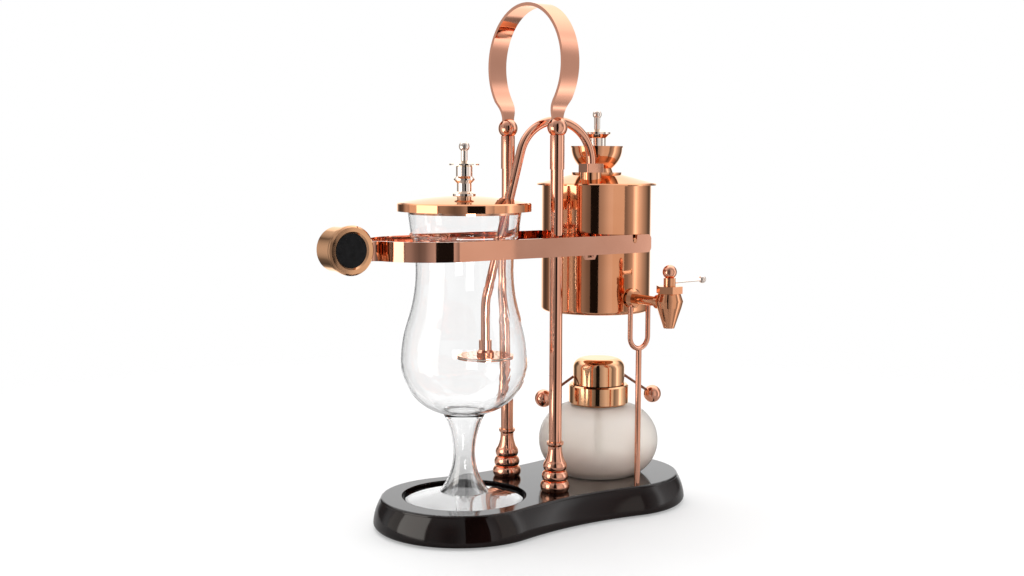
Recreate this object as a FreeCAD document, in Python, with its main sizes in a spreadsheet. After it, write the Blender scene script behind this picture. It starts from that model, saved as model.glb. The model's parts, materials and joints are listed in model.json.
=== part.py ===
import FreeCAD, Part
import math
import os
import re
import Sketcher

# A balance siphon coffee maker: a boiler and a counterweight hang on a beam that tips on two
# posts, and a bent tube joins the boiler to the glass. Millimetres and degrees. +Z is up, the
# origin is on the table midway between the posts, +X points to the boiler and -Y to the front.

SIZES = {
    # base board
    "base_height": 24.0,
    "felt_height": 1.0,
    "felt_inset": 7.0,
    "base_shift": 4.5,
    "lobe_offset": 72.0,
    "lobe_radius": 67.5,
    "waist_half": 59.5,
    "base_top_round": 2.0,
    "base_foot_round": 4.0,
    "base_flare": 5.5,
    "base_swell": 40.0,
    "base_rim": 16.0,
    "recess_radius": 48.2,
    "recess_depth": 4.0,
    "screw_radius": 2.4,
    "screw_head_radius": 4.8,
    "screw_head_height": 3.5,
    "screw_sink": 6.0,
    "screw_bite": 15.0,
    # clearances
    "fixed_fit": 0.05,
    "running_fit": 0.06,
    "loose_fit": 0.4,
    # posts and their turned feet
    "post_half": 31.5,
    "post_radius": 5.0,
    "post_bore": 3.05,
    "foot_ring_height": 8.0,
    "foot_ring_swell": 1.6,
    "low_ring_radius": 11.5,
    "middle_ring_radius": 10.3,
    "high_ring_radius": 9.3,
    "foot_neck_radius": 5.3,
    "foot_neck_height": 11.5,
    "foot_bell_curve": 24.0,
    "foot_collar_radius": 6.6,
    "foot_collar_height": 3.5,
    "spigot_length": 10.0,
    "sleeve_radius": 5.6,
    "sleeve_length": 26.0,
    "post_length": 237.5,
    # ball nuts and carrying handle
    "ball_radius": 7.8,
    "ball_rise": 6.0,
    "handle_seat_rise": 3.0,
    "handle_leg_height": 6.1,
    "handle_radius": 47.5,
    "handle_thickness": 2.6,
    "handle_width": 16.0,
    "handle_end_width": 10.0,
    "handle_flare_radius": 14.0,
    "handle_taper_rise": 5.0,
    "handle_taper_length": 24.0,
    # beam
    "pivot_drop": 84.5,
    "pivot_radius": 2.5,
    "bush_radius": 5.0,
    "strap_gap": 0.4,
    "strap_thickness": 2.4,
    "strap_height": 14.4,
    "strap_past_length": 17.5,
    "strap_end_round": 4.0,
    "bow_past_length": 31.5,
    "strap_flare_radius": 10.0,
    "lug_centre": 21.0,
    "lug_half": 6.0,
    "lug_drop": 3.4,
    "stem_half": 1.3,
    "stub_length": 11.5,
    "stub_sink_depth": 10.1,
    "rivet_radius": 1.6,
    "rivet_spread": 3.6,
    "rivet_lead_length": 6.0,
    # counterweight
    "weight_rise": 1.5,
    "weight_radius": 16.3,
    "weight_length": 20.0,
    "weight_back": 12.0,
    "weight_edge": 1.2,
    "weight_rim_radius": 17.3,
    "weight_rim_height": 1.6,
    "bezel_radius": 17.9,
    "bezel_depth": 4.0,
    "disc_radius": 12.4,
    "disc_depth": 2.6,
    # boiler
    "boiler_x": 66.5,
    "boiler_radius": 44.6,
    "boiler_wall": 0.45,
    "boiler_drop": 56.7,
    "boiler_height": 102.2,
    "boiler_round": 3.0,
    "brim_overhang": 4.2,
    "brim_height": 1.8,
    "crown_radius": 20.3,
    "crown_rise": 8.8,
    "crown_lip_height": 1.5,
    "crown_wall": 0.8,
    "crown_spigot": 4.0,
    "trunnion_radius": 2.0,
    "trunnion_rise": 2.6,
    "notch_half_width": 3.4,
    "trunnion_nut_radius": 6.0,
    "trunnion_nut_depth": 4.0,
    # filler
    "filler_neck_radius": 12.0,
    "filler_bore": 9.4,
    "filler_neck_rise": 3.0,
    "bowl_radius": 20.75,
    "bowl_depth": 16.8,
    "bowl_stand_height": 3.1,
    "bowl_wall": 1.2,
    "bowl_lip": 1.2,
    "plug_foot_rise": 1.5,
    "plug_bore": 6.4,
    "plug_flange_radius": 11.6,
    "plug_flange_height": 2.0,
    "plug_body_radius": 7.2,
    "plug_body_height": 24.8,
    "plug_disc_radius": 11.0,
    "plug_disc_height": 1.6,
    "plug_stem_radius": 2.5,
    "plug_ball_radius": 3.7,
    "plug_finial_height": 19.5,
    "seal_height": 1.6,
    # siphon tube
    "glass_x": 64.5,
    "tube_turn": 9.6,
    "tube_radius": 3.5,
    "tube_bore": 3.0,
    "tube_start": 18.0,
    "tube_foot_rise": 6.0,
    "tube_lean": 14.6,
    "tube_bend": 40.0,
    "arch_reach": 79.0,
    "arch_radius": 32.0,
    "tube_rise": 1.1,
    "block_side": 15.0,
    "block_gap": 0.1,
    "block_height": 7.0,
    "block_round": 1.0,
    "seat_radius": 8.4,
    "tube_sink": 5.0,
    "ring_seal_width": 1.2,
    "ring_seal_height": 2.0,
    "dip_radius": 3.0,
    "dip_bore": 2.2,
    "dip_gap": 4.2,
    # filter
    "filter_radius": 22.0,
    "filter_plate": 0.8,
    "filter_cloth_height": 1.0,
    "filter_cloth_inset": 0.6,
    "filter_drop": 3.4,
    "filter_hole": 1.1,
    "inner_hole_reach": 9.0,
    "middle_hole_reach": 13.5,
    "outer_hole_reach": 18.2,
    "socket_radius": 5.0,
    "socket_flange_radius": 6.8,
    "socket_flange_height": 2.0,
    "socket_depth": 8.0,
    "socket_stub": 2.5,
    "filter_nut_height": 3.0,
    "filter_nut_radius": 5.4,
    # glass
    "glass_wall": 1.9,
    "foot_disc_radius": 45.3,
    "foot_disc_edge": 1.6,
    "foot_disc_land": 2.4,
    "stem_radius": 8.4,
    "stem_waist_rise": 36.5,
    "stem_low_curve": 45.0,
    "stem_low_sweep": 39.5,
    "stem_high_curve": 70.0,
    "bowl_joint_radius": 16.5,
    "belly_radius": 49.4,
    "belly_rise": 73.0,
    "belly_low_curve": 42.0,
    "belly_high_curve": 95.0,
    "neck_radius": 37.9,
    "neck_rise": 69.0,
    "shoulder_rise": 20.0,
    "shoulder_radius": 38.6,
    "shoulder_step": 3.1,
    "shoulder_curve": 6.0,
    "glass_rim_radius": 44.2,
    "cup_rise": 26.5,
    # lid
    "lid_radius": 51.0,
    "lid_skirt_wall": 1.4,
    "lid_skirt_drop": 2.0,
    "lid_skirt_rise": 3.6,
    "lid_edge": 1.0,
    "lid_rise": 9.9,
    "lid_crown_radius": 9.4,
    "lid_wall": 1.5,
    "lid_ring_radius": 41.6,
    "lid_ring_wall": 1.2,
    "lid_ring_drop": 4.0,
    "lid_curve": 240.0,
    "slot_half": 4.75,
    "slot_reach": 36.0,
    "finial_flange_radius": 8.8,
    "finial_waist_radius": 5.6,
    "finial_ring_radius": 8.0,
    "finial_ring_height": 12.0,
    "finial_body_radius": 6.3,
    "finial_disc_radius": 11.5,
    "finial_disc_height": 22.6,
    "finial_stem_radius": 2.5,
    "finial_ball_radius": 4.1,
    "finial_height": 40.8,
    "finial_screw_radius": 2.0,
    "finial_screw_bite": 8.0,
    "finial_head_radius": 3.6,
    "finial_head_height": 2.2,
    # tap
    "tap_stand_reach": 34.0,
    "tap_rise": 13.2,
    "pipe_radius": 3.8,
    "pipe_bore": 2.2,
    "pipe_start": 36.0,
    "tap_flange_radius": 8.0,
    "tap_flange_depth": 4.6,
    "tap_flange_gap": 0.2,
    "locknut_radius": 8.0,
    "locknut_depth": 5.0,
    "spout_drop": 19.3,
    "spout_radius": 4.2,
    "spout_bore": 2.6,
    "tap_waist_radius": 9.4,
    "tap_waist_drop": 3.5,
    "tap_belly_radius": 10.7,
    "tap_belly_rise": 1.5,
    "tap_neck_radius": 8.6,
    "tap_neck_rise": 7.6,
    "inlet_radius": 5.6,
    "inlet_length": 13.0,
    "tap_nut_flats": 18.0,
    "tap_nut_height": 5.6,
    "key_radius": 5.0,
    "key_drop": 8.6,
    "key_stem_radius": 4.6,
    "key_stand_height": 6.3,
    "key_port": 2.2,
    "knob_radius": 5.5,
    "knob_rise": 4.5,
    "knob_spigot": 2.0,
    "knob_spigot_length": 4.0,
    "lever_drop": 2.9,
    "lever_root_reach": 2.4,
    "lever_root_radius": 1.4,
    "lever_radius": 1.8,
    "lever_tip_radius": 1.4,
    "lever_ball_radius": 3.0,
    "lever_reach": 35.0,
    # fork
    "fork_gap": 4.1,
    "fork_radius": 2.3,
    "fork_prong_radius": 2.0,
    "fork_half": 9.3,
    "fork_depth": 33.0,
    "fork_short_drop": 6.0,
    "fork_seat": 10.0,
    # lamp
    "lamp_shift": 4.5,
    "lamp_turn": 22.6,
    "lamp_wall": 2.4,
    "lamp_overhang": 4.6,
    "lamp_neck_radius": 19.2,
    "lamp_neck_height": 7.5,
    "collar_radius": 24.6,
    "collar_lap_height": 7.1,
    "collar_height": 16.1,
    "collar_wall": 1.4,
    "collar_edge": 1.2,
    "wick_radius": 3.4,
    "wick_gap": 12.5,
    "wick_show_height": 4.0,
    "holder_radius": 5.4,
    "holder_flange_radius": 18.6,
    "holder_flange_height": 1.4,
    "holder_rise": 17.0,
    "holder_drop": 6.0,
    "cap_radius": 21.2,
    "cap_wall": 1.0,
    "cap_height": 21.2,
    "cap_round": 8.0,
    "hinge_reach": 27.4,
    "hinge_rise": 3.0,
    "hinge_pin_radius": 1.2,
    "hinge_knuckle_radius": 2.3,
    "hinge_half": 2.8,
    "hinge_lug_width": 3.0,
    "hinge_side_gap": 0.4,
    "hinge_lug_drop": 6.0,
    "wire_radius": 1.1,
    "wire_root_rise": 6.2,
    "wire_drop": 17.1,
    "wire_sink": 4.0,
    "wire_reach": 47.2,
    "weight_ball_radius": 7.3,
}

# Places worked out from the sizes above.
DERIVED = {
    "foot_top": "base_height + 3 * foot_ring_height + foot_neck_height + foot_collar_height",
    "post_top": "foot_top + post_length",
    "sleeve_foot": "post_top - sleeve_length",
    "ball_height": "post_top + ball_rise",
    "handle_seat": "ball_height + handle_seat_rise",
    "handle_flare": "handle_seat + handle_leg_height",
    "handle_middle": "handle_radius - handle_thickness / 2",
    "handle_side": "(post_half + handle_flare_radius) / (handle_middle + handle_flare_radius)",
    "handle_drop": "sqrt(1 - handle_side ^ 2)",
    "handle_centre": "handle_flare + handle_drop * (handle_middle + handle_flare_radius)",
    "handle_top": "handle_centre + handle_radius",
    "handle_taper_foot": "handle_seat + handle_taper_rise",
    "handle_taper_top": "handle_taper_foot + handle_taper_length",
    "pivot_height": "post_top - pivot_drop",
    "trunnion_height": "pivot_height + trunnion_rise",
    "strap_inside": "boiler_radius + strap_gap",
    "strap_middle": "strap_inside + strap_thickness / 2",
    "strap_end": "boiler_x + strap_past_length",
    "strap_bow": "glass_x + bow_past_length",
    "stub_middle": "stem_half + strap_thickness / 2",
    "strap_side": "(stub_middle + strap_flare_radius) / (strap_middle + strap_flare_radius)",
    "strap_along": "sqrt(1 - strap_side ^ 2)",
    "strap_flare": "strap_bow + strap_along * (strap_middle + strap_flare_radius)",
    "stub_end": "strap_flare + stub_length",
    "rivet_reach": "strap_flare + rivet_lead_length",
    "weight_reach": "stub_end - stub_sink_depth + weight_radius",
    "weight_height": "pivot_height + weight_rise",
    "bush_start": "post_half + post_radius + loose_fit",
    "boiler_foot": "pivot_height - boiler_drop",
    "boiler_top_edge": "boiler_foot + boiler_height",
    "brim_radius": "boiler_radius + brim_overhang",
    "crown_height": "boiler_top_edge + crown_rise",
    "crown_top": "crown_height + crown_lip_height",
    "filler_neck_foot": "boiler_top_edge + filler_neck_rise",
    "bowl_foot": "crown_top + bowl_stand_height",
    "bowl_rim": "bowl_foot + bowl_depth",
    "plug_foot": "filler_neck_foot + plug_foot_rise",
    "plug_shoulder": "bowl_foot + bowl_wall + seal_height",
    "plug_body_top": "plug_shoulder + plug_body_height",
    "plug_top": "plug_body_top + plug_finial_height",
    "block_foot": "crown_top + block_gap",
    "block_top": "block_foot + block_height",
    "dip_foot": "boiler_foot + dip_gap",
    "arch_height": "block_top + tube_rise",
    "tube_end": "arch_reach + arch_radius",
    "lean_top_s": "arch_reach - arch_radius * cos(tube_lean)",
    "lean_top_z": "arch_height + arch_radius * sin(tube_lean)",
    "bend_corner": "lean_top_z - (lean_top_s - tube_start) / tan(tube_lean)",
    "bend_run": "tube_bend * tan(tube_lean / 2)",
    "block_x": "tube_end * cos(tube_turn) - glass_x",
    "block_y": "-tube_end * sin(tube_turn)",
    "filter_x": "tube_start * cos(tube_turn) - glass_x",
    "filter_y": "-tube_start * sin(tube_turn)",
    "glass_foot": "base_height - recess_depth",
    "stem_waist_height": "glass_foot + stem_waist_rise",
    "belly_height": "stem_waist_height + belly_rise",
    "neck_height": "belly_height + neck_rise",
    "shoulder_foot": "neck_height + shoulder_rise",
    "glass_top": "shoulder_foot + cup_rise",
    "tube_foot": "belly_height + tube_foot_rise",
    "filter_seat": "tube_foot - filter_drop",
    "socket_top": "tube_foot + socket_depth",
    "belly_sway": "2 * atan((belly_radius - neck_radius) / neck_rise) / 1 deg",
    "neck_curve": "neck_rise / sin(belly_sway) - belly_high_curve",
    "belly_axis": "belly_radius - belly_high_curve",
    "bulb_axis": "belly_radius - belly_low_curve",
    "shoulder_turn": "acos(1 - shoulder_step / (2 * shoulder_curve)) / 1 deg",
    "shoulder_head": "shoulder_foot + 2 * shoulder_curve * sin(shoulder_turn)",
    "stem_low_axis": "stem_radius + stem_low_curve",
    "stem_roof": "belly_height - belly_low_curve - glass_wall",
    "lid_crown": "glass_top + lid_rise",
    "lid_foot": "glass_top - lid_skirt_drop",
    "lid_top_edge": "glass_top + lid_skirt_rise",
    "tap_height": "boiler_foot + tap_rise",
    "spout_end": "tap_height - spout_drop",
    "tap_waist_height": "tap_height - tap_waist_drop",
    "tap_belly_height": "tap_height + tap_belly_rise",
    "tap_neck_height": "tap_height + tap_neck_rise",
    "key_foot": "tap_height - key_drop",
    "key_top": "tap_neck_height + tap_nut_height + key_stand_height",
    "knob_height": "key_top + knob_rise",
    "lever_height": "key_top - lever_drop",
    "fork_reach": "boiler_radius + tap_flange_gap + tap_flange_depth + fork_gap",
    "tap_reach": "fork_reach + tap_stand_reach",
    "fork_top": "tap_height - fork_short_drop",
    "fork_crotch": "fork_top - fork_depth",
    "lamp_x": "boiler_x + lamp_shift",
    "lamp_curve": "boiler_radius + lamp_overhang - lamp_neck_radius",
    "lamp_middle": "base_height + 0.9 * lamp_curve",
    "lamp_neck_top": "lamp_middle + lamp_curve + lamp_neck_height",
    "collar_foot": "lamp_neck_top - collar_lap_height",
    "collar_top": "collar_foot + collar_height",
    "wick_foot": "base_height + wick_gap",
    "holder_top": "lamp_neck_top + holder_rise",
    "holder_foot": "lamp_neck_top - holder_drop",
    "wick_top": "holder_top + wick_show_height",
    "cap_foot": "collar_top + loose_fit",
    "cap_top": "cap_foot + cap_height",
    "hinge_height": "collar_top + hinge_rise",
    "wire_root_height": "cap_foot + wire_root_rise",
    "wire_root": "cap_radius + wire_radius / 2 + fixed_fit",
    "wire_slope": "atan(wire_drop / (wire_reach - wire_root)) / 1 deg",
    "wire_span": "(wire_reach - wire_root) / cos(wire_slope)",
    "wire_length": "wire_span - weight_ball_radius + wire_sink",
}

doc = FreeCAD.newDocument("BalanceSiphon")
sheet = doc.addObject("Spreadsheet::Sheet", "Sizes")
WORD = re.compile(r"[a-z][a-z0-9_]*")
NODES = []


def bound(text):
    """The expression with each size's name pointed at its cell."""
    known = SIZES.keys() | DERIVED.keys()
    return WORD.sub(lambda word: f"Sizes.{word[0]}" if word[0] in known else word[0], text)


def fill_sheet():
    """Writes every size, then every place worked out from them, with its name as alias."""
    for row, (name, size) in enumerate(SIZES.items(), start=1):
        sheet.set(f"A{row}", name)
        sheet.set(f"B{row}", str(size))
        sheet.setAlias(f"B{row}", name)
    for row, (name, text) in enumerate(DERIVED.items(), start=1):
        sheet.set(f"D{row}", name)
        sheet.setAlias(f"E{row}", name)
        sheet.set(f"E{row}", f"={text}")
    doc.recompute()


def number(text):
    """The value of an expression of sizes, in millimetres or degrees."""
    return float(sheet.evalExpression(bound(text)))


def bind(thing, name, text):
    thing.setExpression(name, bound(text))


def place(thing, x="0", y="0", z="0", axis=(0, 0, 1), turn="0"):
    """Stands a piece at its place, turned about an axis by an angle."""
    spin = FreeCAD.Rotation(FreeCAD.Vector(*axis), number(turn))
    thing.Placement = FreeCAD.Placement(FreeCAD.Vector(), spin)
    for side, text in zip("xyz", (x, y, z)):
        bind(thing, f"Placement.Base.{side}", text)
    if WORD.search(turn):
        bind(thing, "Placement.Rotation.Angle", turn)
    return thing


def node(thing, label):
    """Names a finished piece and lists it for the hand-out."""
    thing.Label = label
    NODES.append(thing)
    return thing


def new_body(label):
    body = doc.addObject("PartDesign::Body", label)
    return node(body, label)


def sketch_on(body, role, lift="0"):
    """An empty sketch on one of the body's own planes, lifted along the plane's normal."""
    plane = next(one for one in body.Origin.OriginFeatures if one.Role == role)
    sketch = body.newObject("Sketcher::SketchObject", "Outline")
    sketch.AttachmentSupport = (plane, [""])
    sketch.MapMode = "FlatFace"
    if lift != "0":
        bind(sketch, "AttachmentOffset.Base.z", lift)
    return sketch


def fix_point(rules, edge, end, across, up):
    """Adds the two rules that hold one end of an edge at its place in the sketch."""
    for kind, text, axis in (("DistanceX", across, -2), ("DistanceY", up, -1)):
        value = number(text)
        if abs(value) < 1e-6:
            rules.append((Sketcher.Constraint("PointOnObject", edge, end, axis), None))
        elif value > 0:
            rules.append((Sketcher.Constraint(kind, -1, 1, edge, end, value), text))
        else:
            rules.append((Sketcher.Constraint(kind, edge, end, -1, 1, -value), f"-({text})"))


def apply_rules(sketch, rules):
    """Adds the rules to the sketch and ties each measured one to its expression."""
    first = sketch.ConstraintCount
    sketch.addConstraint([rule for rule, _ in rules])
    for offset, (_, text) in enumerate(rules):
        if text is not None:
            bind(sketch, f"Constraints[{first + offset}]", text)


def draw(sketch, points, closed=True):
    """Draws a line through points given as (across, up), or as (across, up, radius, turn)
    where the stretch that ends there is an arc that turns left or right."""
    spots = [FreeCAD.Vector(number(one[0]), number(one[1]), 0) for one in points]
    rules = []
    ends = []
    first = 0 if closed else 1
    for index in range(first, len(points)):
        start, end, bend = spots[index - 1], spots[index], points[index][2:]
        if bend:
            radius = number(bend[0])
            half = (end - start).multiply(0.5)
            side = FreeCAD.Vector(-half.y, half.x, 0).normalize()
            rise = math.sqrt(radius ** 2 - half.Length ** 2)
            left = bend[1] == "left"
            centre = start + half + side * (rise if left else -rise)
            circle = Part.Circle(centre, FreeCAD.Vector(0, 0, 1), radius)
            low, high = (start, end) if left else (end, start)
            angles = [math.atan2(one.y - centre.y, one.x - centre.x) for one in (low, high)]
            edge = sketch.addGeometry(Part.ArcOfCircle(circle, *angles))
            ends.append((edge, 1, 2) if left else (edge, 2, 1))
            rules.append((Sketcher.Constraint("Radius", edge, radius), bend[0]))
        else:
            edge = sketch.addGeometry(Part.LineSegment(start, end))
            ends.append((edge, 1, 2))
        fix_point(rules, edge, ends[-1][2], *points[index][:2])
    for index in range(first - 1 if closed else 0, len(ends) - 1):
        before, after = ends[index], ends[index + 1]
        rules.append((Sketcher.Constraint("Coincident", before[0], before[2], after[0], after[1]), None))
    if not closed:
        fix_point(rules, ends[0][0], ends[0][1], *points[0][:2])
    apply_rules(sketch, rules)
    return sketch


def draw_circle(sketch, radius, across="0", up="0"):
    centre = FreeCAD.Vector(number(across), number(up), 0)
    edge = sketch.addGeometry(Part.Circle(centre, FreeCAD.Vector(0, 0, 1), number(radius)))
    rules = [(Sketcher.Constraint("Radius", edge, number(radius)), radius)]
    fix_point(rules, edge, 3, across, up)
    apply_rules(sketch, rules)
    return sketch


def box_points(left, right, low, high):
    return [(left, low), (right, low), (right, high), (left, high)]


def revolve(body, points):
    turn = body.newObject("PartDesign::Revolution", "Turned")
    profile = draw(sketch_on(body, "XZ_Plane"), points)
    turn.Profile = profile
    turn.ReferenceAxis = (profile, ["V_Axis"])
    turn.Angle = 360
    return turn


def turned(label, points, **where):
    """A piece turned about its own upright axis from a half outline of (radius, height)."""
    body = new_body(label)
    revolve(body, points)
    return place(body, **where)


def pad(body, sketch, length, both_ways=False, back=False):
    block = body.newObject("PartDesign::Pad", "Block")
    block.Profile = sketch
    block.SideType = "Symmetric" if both_ways else "One side"
    block.Reversed = back
    bind(block, "Length", length)
    return block


def cut(body, sketch, depth=None, back=False, both_ways=False):
    """Cuts a sketch out of a body, to a depth or right through both ways."""
    doc.recompute()
    before = body.Shape.Volume
    hole = body.newObject("PartDesign::Pocket", "Cut")
    hole.Profile = sketch
    hole.SideType = "Symmetric" if both_ways or depth is None else "One side"
    hole.Reversed = back
    if depth is None:
        hole.Type = "ThroughAll"
    else:
        bind(hole, "Length", depth)
    doc.recompute()
    if body.Shape.Volume > before - 1e-3:
        raise RuntimeError(f"{body.Label}: a cut removes nothing")
    return hole


def round_edges(body, chosen, radius):
    """Rounds the edges of the body that the test picks."""
    doc.recompute()
    sharp = body.Tip
    names = [f"Edge{i}" for i, edge in enumerate(sharp.Shape.Edges, start=1) if chosen(edge)]
    soft = body.newObject("PartDesign::Fillet", "Round")
    soft.Base = (sharp, names)
    bind(soft, "Radius", radius)
    return soft


def cylinder(radius, height, **where):
    rod = doc.addObject("Part::Cylinder", "Rod")
    bind(rod, "Radius", radius)
    bind(rod, "Height", height)
    return place(rod, **where)


def group(label, pieces):
    bundle = doc.addObject("Part::Compound", label)
    bundle.Links = pieces
    return node(bundle, label)


def mirrored(source, label):
    """The same piece on the other side of the middle plane."""
    twin = doc.addObject("Part::Mirroring", label)
    twin.Source = source
    twin.Normal = (0, 1, 0)
    return node(twin, label)


FORWARD = {"axis": (1, 0, 0), "turn": "90"}
BACKWARD = {"axis": (1, 0, 0), "turn": "-90"}
ALONG_X = {"axis": (0, 1, 0), "turn": "90"}


def lobe_outline(radius, waist):
    """The peanut outline of the board: two round lobes and two hollow waist arcs."""
    hollow = f"((({waist}) ^ 2 + lobe_offset ^ 2 - ({radius}) ^ 2) / (2 * (({radius}) - ({waist}))))"
    meet = f"(lobe_offset * {hollow} / (({radius}) + {hollow}))"
    side = f"(({radius}) * (({waist}) + {hollow}) / (({radius}) + {hollow}))"
    tip = f"(lobe_offset + {radius})"
    return [
        (tip, "0", radius, "left"),
        (meet, side, radius, "left"),
        (f"-{meet}", side, hollow, "right"),
        (f"-{tip}", "0", radius, "left"),
        (f"-{meet}", f"-{side}", radius, "left"),
        (meet, f"-{side}", hollow, "right"),
    ]


def make_base():
    """The lacquered board with its glass recess, its screw holes and the felt under it."""
    body = new_body("base_board")
    edge_path = draw(sketch_on(body, "XY_Plane", "felt_height"), lobe_outline("lobe_radius", "waist_half"))
    tip = "(lobe_offset + lobe_radius)"
    edge_shape = draw(sketch_on(body, "XZ_Plane"), [
        (f"{tip} - base_rim", "felt_height"),
        (f"{tip} - base_foot_round", "felt_height"),
        (tip, "felt_height + base_foot_round", "base_foot_round", "left"),
        (f"{tip} - base_flare", "base_height - base_top_round", "base_swell", "left"),
        (f"{tip} - base_flare - base_top_round", "base_height", "base_top_round", "left"),
        (f"{tip} - base_rim", "base_height"),
    ])
    rim = body.newObject("PartDesign::AdditivePipe", "Rim")
    rim.Profile = edge_shape
    rim.Spine = edge_path
    inset = "((base_rim + base_flare) / 2)"
    middle = sketch_on(body, "XY_Plane", "felt_height")
    draw(middle, lobe_outline(f"(lobe_radius - {inset})", f"(waist_half - {inset})"))
    pad(body, middle, "base_height - felt_height")
    recess = sketch_on(body, "XY_Plane", "base_height")
    draw_circle(recess, "recess_radius", "-glass_x - base_shift")
    cut(body, recess, "recess_depth")
    socket = sketch_on(body, "XY_Plane", "base_height")
    draw_circle(socket, "fork_radius + fixed_fit", "boiler_x - base_shift", "-fork_reach")
    cut(body, socket, "fork_seat")
    screw_ways = sketch_on(body, "XY_Plane", "base_height")
    head_ways = sketch_on(body, "XY_Plane", "felt_height")
    for side in ("", "-"):
        draw_circle(screw_ways, "screw_radius + loose_fit", "-base_shift", f"{side}post_half")
        draw_circle(head_ways, "screw_head_radius + loose_fit", "-base_shift", f"{side}post_half")
    cut(body, screw_ways)
    cut(body, head_ways, "screw_sink", back=True)
    place(body, x="base_shift")
    felt = new_body("base_felt")
    sheet_outline = lobe_outline("(lobe_radius - felt_inset)", "(waist_half - felt_inset)")
    pad(felt, draw(sketch_on(felt, "XY_Plane"), sheet_outline), "felt_height")
    place(felt, x="base_shift")
    group("base_screws", [make_base_screw(side) for side in ("", "-")])


def make_base_screw(side):
    seat = "felt_height + screw_sink"
    head = cylinder("screw_head_radius", "screw_head_height", z=f"{seat} - screw_head_height")
    shank = cylinder("screw_radius", f"base_height + screw_bite - ({seat})", z=seat)
    screw = doc.addObject("Part::MultiFuse", "Screw")
    screw.Shapes = [head, shank]
    return place(screw, y=f"{side}post_half")


def ring_bulge():
    """The radius of the arc that swells one turned ring of a post's foot."""
    return "((foot_ring_height / 2) ^ 2 + foot_ring_swell ^ 2) / (2 * foot_ring_swell)"


def make_posts():
    """Two posts, each on a foot of three turned rings, with a sleeve and a ball on top."""
    bore = "screw_radius + fixed_fit"
    roof = "base_height + screw_bite + loose_fit"
    rings = [(bore, "base_height")]
    for step, ring in enumerate(("low_ring_radius", "middle_ring_radius", "high_ring_radius")):
        valley = f"{ring} - foot_ring_swell"
        rings.append((valley, f"base_height + {step} * foot_ring_height"))
        rings.append((valley, f"base_height + {step + 1} * foot_ring_height", ring_bulge(), "left"))
    neck = "base_height + 3 * foot_ring_height"
    rings += [
        ("foot_neck_radius", f"{neck} + foot_neck_height", "foot_bell_curve", "right"),
        ("foot_collar_radius", "foot_top - foot_collar_height / 2"),
        ("foot_collar_radius", "foot_top"),
        ("post_bore - fixed_fit", "foot_top"),
        ("post_bore - fixed_fit", "foot_top + spigot_length"),
        ("0", "foot_top + spigot_length"),
        ("0", roof),
        (bore, roof),
    ]
    foot = turned("front_post_foot", rings, y="-post_half")
    tube = box_points("post_bore", "post_radius", "foot_top", "post_top")
    post = turned("front_post", tube, y="-post_half")
    pin_way = sketch_on(post, "XZ_Plane")
    draw_circle(pin_way, "pivot_radius + fixed_fit", "0", "pivot_height")
    cut(post, pin_way)
    sleeve = turned(
        "front_post_sleeve",
        box_points("post_radius + fixed_fit", "sleeve_radius", "sleeve_foot", "post_top"),
        y="-post_half",
    )
    seat = "sqrt(ball_radius ^ 2 - (ball_height - post_top) ^ 2)"
    ball = turned("front_ball_nut", [
        ("0", "post_top - spigot_length"),
        ("post_bore - fixed_fit", "post_top - spigot_length"),
        ("post_bore - fixed_fit", "post_top"),
        (seat, "post_top"),
        ("0", "ball_height + ball_radius", "ball_radius", "left"),
    ], y="-post_half")
    slot = sketch_on(ball, "YZ_Plane")
    half = "(handle_thickness / 2 + fixed_fit)"
    draw(slot, box_points(f"-{half}", half, "handle_seat", "ball_height + 2 * ball_radius"))
    cut(ball, slot)
    pin = cylinder(
        "pivot_radius", "strap_inside - loose_fit - post_half + post_radius",
        y="post_radius - post_half", z="pivot_height", **FORWARD,
    )
    node(pin, "front_pivot_pin")
    for piece in (foot, post, sleeve, ball, pin):
        mirrored(piece, piece.Label.replace("front", "rear"))


def make_handle():
    """A flat strip bent to a loop, narrowed where its ends sit in the balls."""
    body = new_body("carry_handle")
    half = "handle_thickness / 2"
    outer = "handle_radius"
    inner = "(handle_radius - handle_thickness)"
    outer_up = f"handle_centre - {outer} * handle_drop"
    inner_up = f"handle_centre - {inner} * handle_drop"
    small = f"handle_flare_radius - {half}"
    large = f"handle_flare_radius + {half}"
    loop = [
        (f"post_half + {half}", "handle_seat"),
        (f"post_half + {half}", "handle_flare"),
        (f"{outer} * handle_side", outer_up, small, "right"),
        ("0", "handle_top", outer, "left"),
        (f"-{outer} * handle_side", outer_up, outer, "left"),
        (f"-post_half - {half}", "handle_flare", small, "right"),
        (f"-post_half - {half}", "handle_seat"),
        (f"-post_half + {half}", "handle_seat"),
        (f"-post_half + {half}", "handle_flare"),
        (f"-{inner} * handle_side", inner_up, large, "left"),
        ("0", "handle_top - handle_thickness", inner, "right"),
        (f"{inner} * handle_side", inner_up, inner, "right"),
        (f"post_half - {half}", "handle_flare", large, "left"),
        (f"post_half - {half}", "handle_seat"),
    ]
    pad(body, draw(sketch_on(body, "YZ_Plane"), loop), "handle_width", both_ways=True)
    waste = sketch_on(body, "XZ_Plane")
    past = "handle_seat - handle_thickness"
    for side in ("", "-"):
        draw(waste, [
            (f"{side}handle_end_width / 2", past),
            (f"{side}handle_width", past),
            (f"{side}handle_width", "2 * handle_taper_top - handle_taper_foot"),
            (f"{side}handle_end_width / 2", "handle_taper_foot"),
        ])
    cut(body, waste)


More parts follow.
